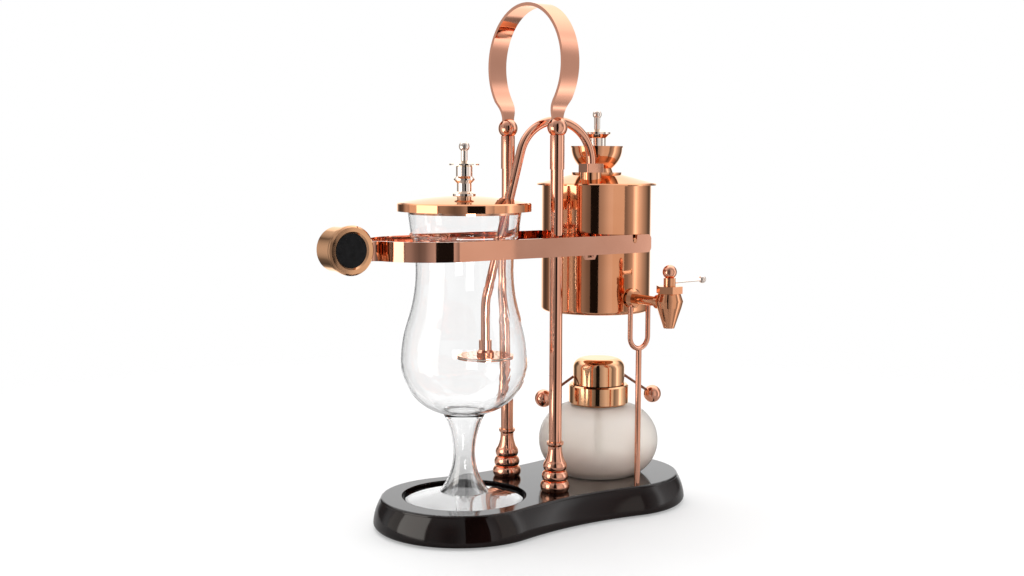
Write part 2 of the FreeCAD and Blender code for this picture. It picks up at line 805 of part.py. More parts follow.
def make_beam():
    """Two straps that meet at the counterweight, pass round the glass and carry the boiler."""
    body = new_body("front_beam_strap")
    half = "strap_thickness / 2"
    near = f"(stub_middle - {half})"
    far = f"(stub_middle + {half})"
    inside = "strap_inside"
    outside = "(strap_inside + strap_thickness)"
    strap = [
        ("-stub_end", f"-{far}"),
        ("-strap_flare", f"-{far}"),
        (
            f"-strap_bow - {outside} * strap_along", f"-{outside} * strap_side",
            f"strap_flare_radius - {half}", "right",
        ),
        ("-strap_bow", f"-{outside}", outside, "left"),
        ("strap_end", f"-{outside}"),
        ("strap_end", f"-{inside}"),
        ("-strap_bow", f"-{inside}"),
        (f"-strap_bow - {inside} * strap_along", f"-{inside} * strap_side", inside, "right"),
        ("-strap_flare", f"-{near}", f"strap_flare_radius + {half}", "left"),
        ("-stub_end", f"-{near}"),
    ]
    bottom = "pivot_height - strap_height / 2"
    pad(body, draw(sketch_on(body, "XY_Plane", bottom), strap), "strap_height")
    tip = number("strap_end")
    round_edges(
        body,
        lambda edge: abs(edge.BoundBox.XMin - tip) < 1e-4 and edge.BoundBox.ZLength < 1e-4,
        "strap_end_round",
    )
    lug = sketch_on(body, "XZ_Plane", "strap_inside")
    draw(lug, [
        ("lug_centre - lug_half", f"{bottom} + lug_drop"),
        ("lug_centre - lug_half", f"{bottom}"),
        ("lug_centre - lug_half + lug_drop / 2", f"{bottom} - lug_drop"),
        ("lug_centre + lug_half - lug_drop / 2", f"{bottom} - lug_drop"),
        ("lug_centre + lug_half", f"{bottom}"),
        ("lug_centre + lug_half", f"{bottom} + lug_drop"),
    ])
    draw(lug, box_points(
        "lug_centre - lug_half / 2", "lug_centre + lug_half / 2",
        f"{bottom} - lug_drop / 2", f"{bottom} + lug_drop / 4",
    ))
    doc.recompute()
    pad(body, lug, "strap_thickness")
    ways = sketch_on(body, "XZ_Plane")
    rest = "(trunnion_radius + running_fit)"
    above = "pivot_height + strap_height"
    draw(ways, [
        ("boiler_x + notch_half_width", above),
        (f"boiler_x + {rest}", "trunnion_height"),
        ("boiler_x", f"trunnion_height - {rest}", rest, "right"),
        (f"boiler_x - {rest}", "trunnion_height", rest, "right"),
        ("boiler_x - notch_half_width", above),
    ])
    rivet_ways(ways)
    cut(body, ways)
    bush = turned(
        "front_pivot_bush",
        box_points("pivot_radius + running_fit", "bush_radius", "bush_start", "strap_inside"),
        z="pivot_height", **FORWARD,
    )
    mirrored(body, "rear_beam_strap")
    mirrored(bush, "rear_pivot_bush")
    stem = new_body("weight_stem")
    side = sketch_on(stem, "XZ_Plane")
    draw(side, box_points(
        "-stub_end", "strap_thickness - strap_flare", bottom, "pivot_height + strap_height / 2",
    ))
    rivet_ways(side)
    pad(stem, side, "2 * stem_half", both_ways=True)
    place(stem)
    group("stem_rivets", [
        cylinder(
            "rivet_radius", f"2 * {far}", x="-rivet_reach", y=far,
            z=f"pivot_height {sign} rivet_spread", **FORWARD,
        )
        for sign in "+-"
    ])


def rivet_ways(sketch):
    for sign in "+-":
        draw_circle(sketch, "rivet_radius + fixed_fit", "-rivet_reach", f"pivot_height {sign} rivet_spread")


def make_counterweight():
    """A short drum with a bezel round a plain black disc on its front."""
    where = {"x": "-weight_reach", "y": "weight_back", "z": "weight_height"}
    barrel = turned("counterweight_barrel", [
        ("0", "0"),
        ("weight_radius - weight_edge", "0"),
        ("weight_radius", "weight_edge"),
        ("weight_radius", "weight_length - 2 * weight_rim_height"),
        ("weight_rim_radius", "weight_length - 1.5 * weight_rim_height"),
        ("weight_rim_radius", "weight_length - 0.5 * weight_rim_height"),
        ("weight_radius", "weight_length"),
        ("0", "weight_length"),
    ], **where, **FORWARD)
    slot = sketch_on(barrel, "XY_Plane", "weight_back")
    tall = "(strap_height / 2 + fixed_fit)"
    draw(slot, box_points(
        "weight_reach - stub_end - fixed_fit", "weight_rim_radius + weight_edge",
        f"pivot_height - weight_height - {tall}", f"pivot_height - weight_height + {tall}",
    ))
    cut(barrel, slot, "2 * (stem_half + strap_thickness + fixed_fit)", both_ways=True)
    turned("counterweight_bezel", [
        ("disc_radius + fixed_fit", "weight_length"),
        ("bezel_radius - weight_edge", "weight_length"),
        ("bezel_radius", "weight_length + weight_edge"),
        ("bezel_radius", "weight_length + bezel_depth - weight_edge"),
        ("bezel_radius - weight_edge", "weight_length + bezel_depth"),
        ("disc_radius + weight_edge", "weight_length + bezel_depth"),
        ("disc_radius + fixed_fit", "weight_length + disc_depth"),
    ], **where, **FORWARD)
    turned("counterweight_disc", box_points(
        "0", "disc_radius", "weight_length", "weight_length + disc_depth",
    ), **where, **FORWARD)


def make_boiler():
    """The boiler's cup, its conical top, and the pins that it swings on."""
    inside = "(boiler_radius - boiler_wall)"
    shell = turned("boiler_shell", [
        ("0", "boiler_foot"),
        ("boiler_radius - boiler_round", "boiler_foot"),
        ("boiler_radius", "boiler_foot + boiler_round", "boiler_round", "left"),
        ("boiler_radius", "boiler_top_edge"),
        (inside, "boiler_top_edge"),
        (inside, "boiler_foot + boiler_round"),
        ("boiler_radius - boiler_round", "boiler_foot + boiler_wall", "boiler_round - boiler_wall", "right"),
        ("0", "boiler_foot + boiler_wall"),
    ], x="boiler_x")
    trunnion_ways = sketch_on(shell, "XZ_Plane")
    draw_circle(trunnion_ways, "trunnion_radius + fixed_fit", "0", "trunnion_height")
    cut(shell, trunnion_ways)
    tap_way = sketch_on(shell, "XZ_Plane")
    draw_circle(tap_way, "pipe_radius + fixed_fit", "0", "tap_height")
    cut(shell, tap_way, "2 * boiler_radius", back=True)

    under = "crown_height - crown_wall"
    top = turned("boiler_top", [
        ("filler_neck_radius + fixed_fit", under),
        ("crown_radius - crown_wall", under),
        (f"{inside} - loose_fit - crown_wall", "boiler_top_edge + brim_height"),
        (f"{inside} - loose_fit - crown_wall", "boiler_top_edge - crown_spigot"),
        (f"{inside} - loose_fit", "boiler_top_edge - crown_spigot"),
        (f"{inside} - loose_fit", "boiler_top_edge"),
        ("brim_radius", "boiler_top_edge"),
        ("brim_radius", "boiler_top_edge + brim_height / 2"),
        ("brim_radius - crown_wall", "boiler_top_edge + brim_height"),
        ("crown_radius", "crown_height"),
        ("crown_radius", "crown_top"),
        ("filler_neck_radius + fixed_fit", "crown_top"),
    ], x="boiler_x")
    seat = sketch_on(top, "XY_Plane", "block_foot")
    draw_circle(seat, "seat_radius", "block_x - boiler_x", "block_y")
    pad(top, seat, "block_foot - boiler_top_edge - 2 * brim_height", back=True)
    dip_way = sketch_on(top, "XY_Plane", "block_foot")
    draw_circle(dip_way, "dip_radius + fixed_fit", "block_x - boiler_x", "block_y")
    cut(top, dip_way)

    pin_end = "strap_inside + strap_thickness + loose_fit"
    nut_end = f"sqrt({inside} ^ 2 - trunnion_nut_radius ^ 2) - fixed_fit"
    nut_start = f"{nut_end} - trunnion_nut_depth"
    where = {"x": "boiler_x", "z": "trunnion_height"}
    pin = [
        ("0", nut_start),
        ("trunnion_radius", nut_start),
        ("trunnion_radius", f"{pin_end} - loose_fit"),
        ("trunnion_radius - loose_fit", pin_end),
        ("0", pin_end),
    ]
    nut = box_points("trunnion_radius + fixed_fit", "trunnion_nut_radius", nut_start, nut_end)
    for label, points in (("trunnion_pins", pin), ("trunnion_nuts", nut)):
        pair = []
        for way in (FORWARD, BACKWARD):
            body = doc.addObject("PartDesign::Body", "Half")
            revolve(body, points)
            pair.append(place(body, **where, **way))
        group(label, pair)


def make_filler():
    """The filler's bowl on the boiler, with its turned plug and the plug's seal."""
    inner = "(bowl_radius - bowl_wall)"
    floor = "(bowl_foot + bowl_wall)"
    turned("filler_funnel", [
        ("filler_bore", "filler_neck_foot"),
        ("filler_neck_radius", "filler_neck_foot"),
        ("filler_neck_radius", "crown_top"),
        ("filler_neck_radius + bowl_wall", "crown_top"),
        ("sqrt(bowl_radius ^ 2 - (bowl_rim - bowl_foot) ^ 2)", "bowl_foot"),
        ("bowl_radius", "bowl_rim", "bowl_radius", "left"),
        ("bowl_radius + bowl_lip / 2", "bowl_rim"),
        ("bowl_radius + bowl_lip / 2", "bowl_rim + bowl_lip"),
        (inner, "bowl_rim + bowl_lip"),
        (inner, "bowl_rim"),
        (f"sqrt({inner} ^ 2 - (bowl_rim - {floor}) ^ 2)", floor, inner, "right"),
        ("filler_bore", floor),
    ], x="boiler_x")
    turned("plug_seal", box_points(
        "filler_bore", "plug_flange_radius", floor, "plug_shoulder",
    ), x="boiler_x")
    shoulder = "plug_shoulder + plug_flange_height"
    disc = "plug_body_top + plug_disc_height"
    ball = "plug_top - plug_ball_radius"
    turned("filler_plug", [
        ("plug_bore", "plug_foot"),
        ("filler_bore - running_fit", "plug_foot"),
        ("filler_bore - running_fit", "plug_shoulder"),
        ("plug_flange_radius", "plug_shoulder"),
        ("plug_flange_radius", shoulder),
        ("plug_body_radius", f"{shoulder} + plug_flange_height"),
        ("plug_body_radius", "plug_body_top - 2 * plug_disc_height"),
        ("plug_disc_radius", "plug_body_top"),
        ("plug_disc_radius", disc),
        ("plug_stem_radius", f"{disc} + plug_stem_radius"),
        ("plug_stem_radius", f"{ball} - sqrt(plug_ball_radius ^ 2 - plug_stem_radius ^ 2)"),
        ("0", "plug_top", "plug_ball_radius", "left"),
        ("0", "plug_body_top - 2 * plug_disc_height"),
        ("plug_bore", "plug_body_top - 2 * plug_disc_height - plug_bore"),
    ], x="boiler_x")


def make_tube():
    """The bent siphon tube, its block on the boiler and the dip tube below it."""
    along = {"x": "-glass_x", "turn": "-tube_turn"}
    tube = new_body("siphon_tube")
    path = sketch_on(tube, "XZ_Plane")
    draw(path, [
        ("tube_start", "tube_foot"),
        ("tube_start", "bend_corner - bend_run"),
        (
            "tube_start + bend_run * sin(tube_lean)", "bend_corner + bend_run * cos(tube_lean)",
            "tube_bend", "right",
        ),
        ("lean_top_s", "lean_top_z"),
        ("tube_end", "arch_height", "arch_radius", "right"),
        ("tube_end", "block_top - tube_sink"),
    ], closed=False)
    section = sketch_on(tube, "XY_Plane", "tube_foot")
    draw_circle(section, "tube_radius", "tube_start")
    draw_circle(section, "tube_bore", "tube_start")
    sweep = tube.newObject("PartDesign::AdditivePipe", "Bent")
    sweep.Profile = section
    sweep.Spine = path
    place(tube, **along)

    spot = {"x": "block_x", "y": "block_y", "turn": "-tube_turn"}
    block = new_body("tube_block")
    half = "block_side / 2"
    foot = sketch_on(block, "XY_Plane", "block_foot")
    draw(foot, box_points(f"-{half}", half, f"-{half}", half))
    pad(block, foot, "block_top - block_foot")
    round_edges(block, lambda edge: edge.BoundBox.ZLength > 1, "block_round")
    way = sketch_on(block, "XY_Plane", "block_top")
    draw_circle(way, "dip_bore")
    cut(block, way)
    well = sketch_on(block, "XY_Plane", "block_top")
    draw_circle(well, "tube_radius + fixed_fit")
    cut(block, well, "tube_sink")
    gland = sketch_on(block, "XY_Plane", "block_top")
    draw_circle(gland, "tube_radius + ring_seal_width")
    cut(block, gland, "ring_seal_height")
    place(block, **spot)
    turned("tube_seal", box_points(
        "tube_radius + fixed_fit", "tube_radius + ring_seal_width - fixed_fit",
        "block_top - ring_seal_height", "block_top",
    ), **spot)
    turned("dip_tube", box_points("dip_bore", "dip_radius", "dip_foot", "block_foot"), **spot)


def make_filter():
    """A cloth held between two pierced plates on the tube's lower end."""
    spot = {"x": "filter_x", "y": "filter_y", "turn": "-tube_turn"}
    cloth = "filter_seat - filter_plate - filter_cloth_height"
    underside = f"{cloth} - filter_plate"
    stub = "socket_stub"
    turned("filter_socket", [
        ("0", f"{underside} - filter_nut_height"),
        (stub, f"{underside} - filter_nut_height"),
        (stub, "filter_seat"),
        ("socket_flange_radius", "filter_seat"),
        ("socket_flange_radius", "filter_seat + socket_flange_height"),
        ("socket_radius", "filter_seat + 2 * socket_flange_height"),
        ("socket_radius", "socket_top"),
        ("tube_radius + fixed_fit", "socket_top"),
        ("tube_radius + fixed_fit", "tube_foot"),
        ("0", "tube_foot"),
    ], **spot)
    plates = (("filter_top_plate", "filter_seat - filter_plate"), ("filter_bottom_plate", underside))
    for label, low in plates:
        plate = turned(label, box_points(
            f"{stub} + fixed_fit", "filter_radius", low, f"{low} + filter_plate",
        ), **spot)
        for ring, count in (("inner_hole_reach", 10), ("middle_hole_reach", 16), ("outer_hole_reach", 22)):
            hole_sketch = sketch_on(plate, "XY_Plane", low)
            draw_circle(hole_sketch, "filter_hole", ring)
            hole = cut(plate, hole_sketch)
            repeat = plate.newObject("PartDesign::PolarPattern", "Ring")
            repeat.Originals = [hole]
            repeat.Axis = (hole_sketch, ["N_Axis"])
            repeat.Angle = 360
            repeat.Occurrences = count
            plate.Tip = repeat
    turned("filter_cloth", box_points(
        f"{stub} + fixed_fit", "filter_radius - filter_cloth_inset", cloth, f"{cloth} + filter_cloth_height",
    ), **spot)
    turned("filter_nut", box_points(
        f"{stub} + fixed_fit", "filter_nut_radius", f"{underside} - filter_nut_height", underside,
    ), **spot)


def make_glass():
    """The stemmed glass: a hollow foot and stem, a full belly, a neck and a flared cup."""
    wall = "glass_wall"
    low_in = "(stem_low_curve + glass_wall)"
    belly_in = "(belly_high_curve - glass_wall)"
    shoulder_axis_low = "(shoulder_radius + shoulder_curve)"
    cup = "(shoulder_radius + shoulder_step)"

    def shoulder_joint(radius):
        return (
            f"{shoulder_axis_low} - ({radius}) * cos(shoulder_turn)",
            f"shoulder_foot + ({radius}) * sin(shoulder_turn)",
        )

    def belly_joint(radius):
        return (f"belly_axis + ({radius}) * cos(belly_sway)", f"belly_height + ({radius}) * sin(belly_sway)")

    def foot_joint(radius):
        return (
            f"stem_low_axis - ({radius}) * cos(stem_low_sweep)",
            f"stem_waist_height - ({radius}) * sin(stem_low_sweep)",
        )

    stem_in = "(stem_high_curve + glass_wall)"
    roof_radius = (
        "stem_radius + stem_high_curve"
        f" - sqrt({stem_in} ^ 2 - (stem_roof - stem_waist_height) ^ 2)"
    )
    turned("glass_chamber", [
        ("0", "stem_roof + 2 * glass_wall"),
        ("0", "stem_roof"),
        (roof_radius, "stem_roof"),
        (f"stem_radius - {wall}", "stem_waist_height", stem_in, "left"),
        (*foot_joint(low_in), low_in, "left"),
        ("foot_disc_radius - foot_disc_land", "glass_foot"),
        ("foot_disc_radius", "glass_foot"),
        ("foot_disc_radius", "glass_foot + foot_disc_edge"),
        foot_joint("stem_low_curve"),
        ("stem_radius", "stem_waist_height", "stem_low_curve", "right"),
        (
            "bowl_joint_radius",
            "belly_height - sqrt(belly_low_curve ^ 2 - (bowl_joint_radius - bulb_axis) ^ 2)",
            "stem_high_curve", "right",
        ),
        ("belly_radius", "belly_height", "belly_low_curve", "left"),
        (*belly_joint("belly_high_curve"), "belly_high_curve", "left"),
        ("neck_radius", "neck_height", "neck_curve", "right"),
        ("shoulder_radius", "shoulder_foot"),
        (*shoulder_joint("shoulder_curve"), "shoulder_curve", "right"),
        (cup, "shoulder_head", "shoulder_curve", "left"),
        ("glass_rim_radius", "glass_top"),
        (f"glass_rim_radius - {wall}", "glass_top"),
        (f"{cup} - {wall}", "shoulder_head"),
        (*shoulder_joint("shoulder_curve + glass_wall"), f"shoulder_curve - {wall}", "right"),
        (f"shoulder_radius - {wall}", "shoulder_foot", f"shoulder_curve + {wall}", "left"),
        (f"neck_radius - {wall}", "neck_height"),
        (*belly_joint(belly_in), f"neck_curve + {wall}", "left"),
        (f"belly_radius - {wall}", "belly_height", belly_in, "right"),
        ("bulb_axis", "stem_roof + 2 * glass_wall", f"belly_low_curve - {wall}", "right"),
    ], x="-glass_x")


def make_lid():
    """The glass's metal lid, slotted for the tube, with a turned finial screwed on."""
    where = {"x": "-glass_x", "turn": "-tube_turn"}
    under = "lid_crown - lid_wall"
    screw_way = "finial_screw_radius + fixed_fit"
    ring_in = "lid_ring_radius - lid_ring_wall"
    lid = turned("glass_lid", [
        (screw_way, under),
        ("lid_crown_radius", under),
        (ring_in, "lid_top_edge - lid_wall / 2", "lid_curve", "right"),
        (ring_in, "glass_top - lid_ring_drop"),
        ("lid_ring_radius", "glass_top - lid_ring_drop"),
        ("lid_ring_radius", "glass_top"),
        ("lid_radius - lid_skirt_wall", "glass_top"),
        ("lid_radius - lid_skirt_wall", "lid_foot"),
        ("lid_radius", "lid_foot"),
        ("lid_radius", "lid_top_edge"),
        ("lid_radius - lid_edge", "lid_top_edge + lid_edge"),
        ("lid_crown_radius", "lid_crown", "lid_curve", "left"),
        (screw_way, "lid_crown"),
    ], **where)
    slot = sketch_on(lid, "XY_Plane")
    past = "lid_radius + slot_half"
    draw(slot, [
        ("slot_reach - slot_half", "0", "slot_half", "left"),
        ("slot_reach", "-slot_half", "slot_half", "left"),
        (past, "-slot_half"),
        (past, "slot_half"),
        ("slot_reach", "slot_half"),
    ])
    cut(lid, slot)

    def rise(part):
        return f"lid_crown + {part} * finial_ring_height"

    disc = "lid_crown + finial_disc_height"
    ball = "lid_crown + finial_height - finial_ball_radius"
    roof = "lid_crown + finial_screw_bite + loose_fit"
    turned("lid_finial", [
        (screw_way, "lid_crown"),
        ("finial_flange_radius", "lid_crown"),
        ("finial_flange_radius", rise(0.1)),
        ("finial_waist_radius", rise(0.25)),
        ("finial_waist_radius", rise(0.75)),
        ("finial_ring_radius", rise(0.95)),
        ("finial_ring_radius", rise(1.05)),
        ("finial_body_radius", rise(1.2)),
        ("finial_body_radius", f"{disc} - 0.1 * finial_ring_height"),
        ("finial_disc_radius", disc),
        ("finial_disc_radius", f"{disc} + 0.1 * finial_ring_height"),
        ("finial_stem_radius", f"{disc} + 0.3 * finial_ring_height"),
        ("finial_stem_radius", f"{ball} - sqrt(finial_ball_radius ^ 2 - finial_stem_radius ^ 2)"),
        ("0", "lid_crown + finial_height", "finial_ball_radius", "left"),
        ("0", roof),
        (screw_way, roof),
    ], **where)
    turned("finial_screw", [
        ("0", f"{under} - finial_head_height"),
        ("finial_head_radius", f"{under} - finial_head_height"),
        ("finial_head_radius", under),
        ("finial_screw_radius", under),
        ("finial_screw_radius", "lid_crown + finial_screw_bite"),
        ("0", "lid_crown + finial_screw_bite"),
    ], **where)


def make_tap():
    """The tap on the boiler's front: flange, pipe, body, gland nut, key, knob and lever."""
    spot = {"x": "boiler_x", "y": "-tap_reach"}
    outward = {"x": "boiler_x", "z": "tap_height", **FORWARD}
    body = turned("tap_body", [
        ("0", "spout_end"),
        ("spout_radius", "spout_end"),
        ("tap_waist_radius", "tap_waist_height"),
        ("tap_belly_radius", "tap_belly_height"),
        ("tap_neck_radius", "tap_neck_height"),
        ("0", "tap_neck_height"),
    ], **spot)
    inlet = draw_circle(sketch_on(body, "XZ_Plane"), "inlet_radius", "0", "tap_height")
    pad(body, inlet, "inlet_length", back=True)
    key_way = draw_circle(sketch_on(body, "XY_Plane", "tap_neck_height"), "key_radius + running_fit")
    cut(body, key_way, "tap_neck_height - key_foot + loose_fit")
    cut(body, draw_circle(sketch_on(body, "XY_Plane", "spout_end"), "spout_bore"))
    water_way = draw_circle(sketch_on(body, "XZ_Plane"), "pipe_bore", "0", "tap_height")
    cut(body, water_way, "2 * inlet_length")

    pipe_way = "pipe_radius + fixed_fit"
    pipe_wall = box_points("pipe_bore", "pipe_radius", "pipe_start", "tap_reach - inlet_length")
    turned("tap_pipe", pipe_wall, **outward)
    flange = "boiler_radius + tap_flange_gap"
    turned("tap_flange", [
        (pipe_way, flange),
        ("tap_flange_radius", flange),
        ("tap_flange_radius", f"{flange} + 0.4 * tap_flange_depth"),
        ("0.75 * tap_flange_radius", f"{flange} + tap_flange_depth"),
        (pipe_way, f"{flange} + tap_flange_depth"),
    ], **outward)
    nut_end = "sqrt((boiler_radius - boiler_wall) ^ 2 - locknut_radius ^ 2) - fixed_fit"
    nut_wall = box_points(pipe_way, "locknut_radius", f"{nut_end} - locknut_depth", nut_end)
    turned("tap_locknut", nut_wall, **outward)

    nut = new_body("tap_nut")
    face = sketch_on(nut, "XY_Plane", "tap_neck_height")
    flat = "tap_nut_flats / 2"
    point = "tap_nut_flats / sqrt(3)"
    draw(face, [
        (point, "0"), (f"{point} / 2", flat), (f"-{point} / 2", flat),
        (f"-{point}", "0"), (f"-{point} / 2", f"-{flat}"), (f"{point} / 2", f"-{flat}"),
    ])
    draw_circle(face, "key_stem_radius + running_fit")
    pad(nut, face, "tap_nut_height")
    place(nut, **spot)

    spigot_foot = "key_top - knob_spigot_length"
    key = turned("tap_key", [
        ("0", "key_foot"),
        ("key_radius", "key_foot"),
        ("key_radius", "tap_neck_height - running_fit"),
        ("key_stem_radius", "tap_neck_height - running_fit"),
        ("key_stem_radius", "key_top"),
        ("knob_spigot + fixed_fit", "key_top"),
        ("knob_spigot + fixed_fit", f"{spigot_foot} - fixed_fit"),
        ("0", f"{spigot_foot} - fixed_fit"),
    ], **spot)
    cut(key, draw_circle(sketch_on(key, "YZ_Plane"), "key_port", "0", "tap_height"))
    lever_way = sketch_on(key, "YZ_Plane", "lever_root_reach")
    draw_circle(lever_way, "lever_root_radius + fixed_fit", "0", "lever_height")
    cut(key, lever_way, "key_stem_radius", back=True)
    turned("tap_knob", [
        ("0", spigot_foot),
        ("knob_spigot", spigot_foot),
        ("knob_spigot", "key_top"),
        ("sqrt(knob_radius ^ 2 - (knob_height - key_top) ^ 2)", "key_top"),
        ("0", "knob_height + knob_radius", "knob_radius", "left"),
    ], **spot)
    turned("tap_lever", [
        ("0", "lever_root_reach"),
        ("lever_root_radius", "lever_root_reach"),
        ("lever_root_radius", "key_stem_radius + fixed_fit"),
        ("lever_radius", "key_stem_radius + fixed_fit"),
        ("lever_tip_radius", "lever_reach - sqrt(lever_ball_radius ^ 2 - lever_tip_radius ^ 2)"),
        ("0", "lever_reach + lever_ball_radius", "lever_ball_radius", "left"),
    ], **spot, z="lever_height", **ALONG_X)


def make_fork():
    """A rod let into the board, split at the top into the fork that guides the tap's pipe."""
    rod = cylinder("fork_radius", "fork_crotch - base_height + fork_seat", z="base_height - fork_seat")
    bow = doc.addObject("Part::Torus", "Bow")
    bind(bow, "Radius1", "fork_half")
    bind(bow, "Radius2", "fork_prong_radius")
    bow.Angle3 = 180
    place(bow, z="fork_crotch + fork_half", **BACKWARD)
    pieces = [rod, bow]
    for side in ("", "-"):
        prong = cylinder(
            "fork_prong_radius", "fork_top - fork_crotch - fork_half",
            x=f"{side}fork_half", z="fork_crotch + fork_half",
        )
        end = doc.addObject("Part::Sphere", "End")
        bind(end, "Radius", "fork_prong_radius")
        pieces += [prong, place(end, x=f"{side}fork_half", z="fork_top")]
    fork = doc.addObject("Part::MultiFuse", "tap_fork")
    fork.Shapes = pieces
    fork.Refine = True
    place(node(fork, "tap_fork"), x="boiler_x", y="-fork_reach")


def make_lamp():
    """The spirit lamp: frosted bowl, collar, wick, and a hinged snuffer with two ball weights."""
    where = {"x": "lamp_x", "turn": "-lamp_turn"}
    inner = "(lamp_curve - lamp_wall)"
    throat = "lamp_neck_radius - lamp_wall"
    floor = "(base_height + lamp_wall)"
    turned("lamp_bowl", [
        ("0", "base_height"),
        ("lamp_neck_radius + sqrt(lamp_curve ^ 2 - (lamp_middle - base_height) ^ 2)", "base_height"),
        ("lamp_neck_radius", "lamp_middle + lamp_curve", "lamp_curve", "left"),
        ("lamp_neck_radius", "lamp_neck_top"),
        (throat, "lamp_neck_top"),
        (throat, f"lamp_middle + sqrt({inner} ^ 2 - lamp_wall ^ 2)"),
        (f"lamp_neck_radius + sqrt({inner} ^ 2 - (lamp_middle - {floor}) ^ 2)", floor, inner, "right"),
        ("0", floor),
    ], **where)
    collar_in = "lamp_neck_radius + loose_fit"
    collar = turned("lamp_collar", [
        (collar_in, "collar_foot"),
        ("collar_radius - collar_edge", "collar_foot"),
        ("collar_radius", "collar_foot + collar_edge"),
        ("collar_radius", "collar_top - collar_edge"),
        ("collar_radius - collar_edge", "collar_top"),
        ("holder_radius + fixed_fit", "collar_top"),
        ("holder_radius + fixed_fit", "collar_top - collar_wall"),
        (collar_in, "collar_top - collar_wall"),
    ], **where)
    low = "collar_top - hinge_lug_drop"
    back = "collar_radius - collar_wall"
    lug_points = [
        (back, low),
        ("hinge_reach + hinge_knuckle_radius", f"{low} + hinge_knuckle_radius"),
        ("hinge_reach + hinge_knuckle_radius", "hinge_height"),
        ("hinge_reach", "hinge_height + hinge_knuckle_radius", "hinge_knuckle_radius", "left"),
        ("hinge_reach - hinge_knuckle_radius", "hinge_height", "hinge_knuckle_radius", "left"),
        ("hinge_reach - hinge_knuckle_radius", "collar_top - collar_wall"),
        (back, "collar_top - collar_wall"),
    ]
    for side, turn_back in (("", False), ("-", True)):
        lug = draw(sketch_on(collar, "YZ_Plane", f"{side}(hinge_half + hinge_side_gap)"), lug_points)
        pad(collar, lug, "hinge_lug_width", back=turn_back)
    pin_way = sketch_on(collar, "YZ_Plane")
    draw_circle(pin_way, "hinge_pin_radius + fixed_fit", "hinge_reach", "hinge_height")
    cut(collar, pin_way)
    pin = new_body("snuffer_pin")
    pin_face = draw_circle(sketch_on(pin, "YZ_Plane"), "hinge_pin_radius", "hinge_reach", "hinge_height")
    pad(pin, pin_face, "2 * (hinge_half + hinge_side_gap + hinge_lug_width)", both_ways=True)
    place(pin, **where)

    flange = "lamp_neck_top + holder_flange_height"
    turned("wick_holder", [
        ("wick_radius + fixed_fit", "holder_foot"),
        ("holder_radius", "holder_foot"),
        ("holder_radius", "lamp_neck_top"),
        ("holder_flange_radius", "lamp_neck_top"),
        ("holder_flange_radius", flange),
        ("holder_radius", flange),
        ("holder_radius", "holder_top"),
        ("wick_radius + fixed_fit", "holder_top"),
    ], **where)
    turned("wick", box_points("0", "wick_radius", "wick_foot", "wick_top"), **where)
    make_snuffer(where)


def make_snuffer(where):
    """The cap that puts out the flame, with its hinge eye, wires and ball weights."""
    shoulder = "cap_top - cap_round"
    cap = turned("snuffer_cap", [
        ("cap_radius - cap_wall", "cap_foot"),
        ("cap_radius", "cap_foot"),
        ("cap_radius", shoulder),
        ("cap_radius - cap_round", "cap_top", "cap_round", "left"),
        ("0", "cap_top"),
        ("0", "cap_top - cap_wall"),
        ("cap_radius - cap_round", "cap_top - cap_wall"),
        ("cap_radius - cap_wall", shoulder, "cap_round - cap_wall", "right"),
    ], **where)
    root = "cap_radius - cap_wall / 2"
    eye = draw(sketch_on(cap, "YZ_Plane"), [
        (root, "hinge_height - hinge_knuckle_radius"),
        ("hinge_reach", "hinge_height - hinge_knuckle_radius"),
        ("hinge_reach + hinge_knuckle_radius", "hinge_height", "hinge_knuckle_radius", "left"),
        ("hinge_reach", "hinge_height + hinge_knuckle_radius", "hinge_knuckle_radius", "left"),
        (root, "hinge_height + hinge_knuckle_radius"),
    ])
    pad(cap, eye, "2 * hinge_half", both_ways=True)
    pin_way = sketch_on(cap, "YZ_Plane")
    draw_circle(pin_way, "hinge_pin_radius + running_fit", "hinge_reach", "hinge_height")
    cut(cap, pin_way, "2 * hinge_half + hinge_side_gap", both_ways=True)

    wires = []
    balls = []
    for side in ("", "-"):
        lean = {"axis": (0, 1, 0), "turn": f"{side}(90 + wire_slope)"}
        start = {"x": f"{side}wire_root", "z": "wire_root_height"}
        wires.append(cylinder("wire_radius", "wire_length", **start, **lean))
        ball = doc.addObject("Part::Sphere", "Ball")
        bind(ball, "Radius", "weight_ball_radius")
        place(ball, x=f"{side}wire_reach", z="wire_root_height - wire_drop", turn="90")
        drilled = doc.addObject("Part::Cut", "Drilled")
        drilled.Base = ball
        drilled.Tool = cylinder("wire_radius + fixed_fit", "wire_length + fixed_fit", **start, **lean)
        balls.append(drilled)
    place(group("snuffer_wires", wires), **where)
    place(group("snuffer_balls", balls), **where)


def hand_out():
    """Checks every object and writes each named piece to its own file."""
    doc.recompute()
    for thing in doc.Objects:
        if {"Invalid", "Error"} & set(thing.State):
            raise RuntimeError(f"{thing.Label}: {thing.getStatusString()}")
    os.makedirs("parts", exist_ok=True)
    for piece in NODES:
        shape = piece.Shape
        if shape.isNull() or not shape.isValid() or not shape.Solids:
            raise RuntimeError(f"{piece.Label}: no sound solid")
        shape.exportStep(f"parts/{piece.Label}.step")


def main():
    fill_sheet()
    make_base()
    make_posts()
    make_handle()
    make_beam()
    make_counterweight()
    make_boiler()
    make_filler()
    make_tube()
    make_filter()
    make_glass()
    make_lid()
    make_tap()
    make_fork()
    make_lamp()
    hand_out()


main()
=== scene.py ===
# %% [markdown]
# A balance siphon coffee maker
#
# A copper boiler and a counterweight hang on a beam between two posts. Steam pushes hot water
# through a bent tube into the glass, and a spirit lamp heats the boiler. The solid model is the
# frame, and this lesson dresses it: finishes first, then the soft pieces that sit in it.

# %% Load the solid model
import json
import math

import bpy
from mathutils import Matrix, Vector


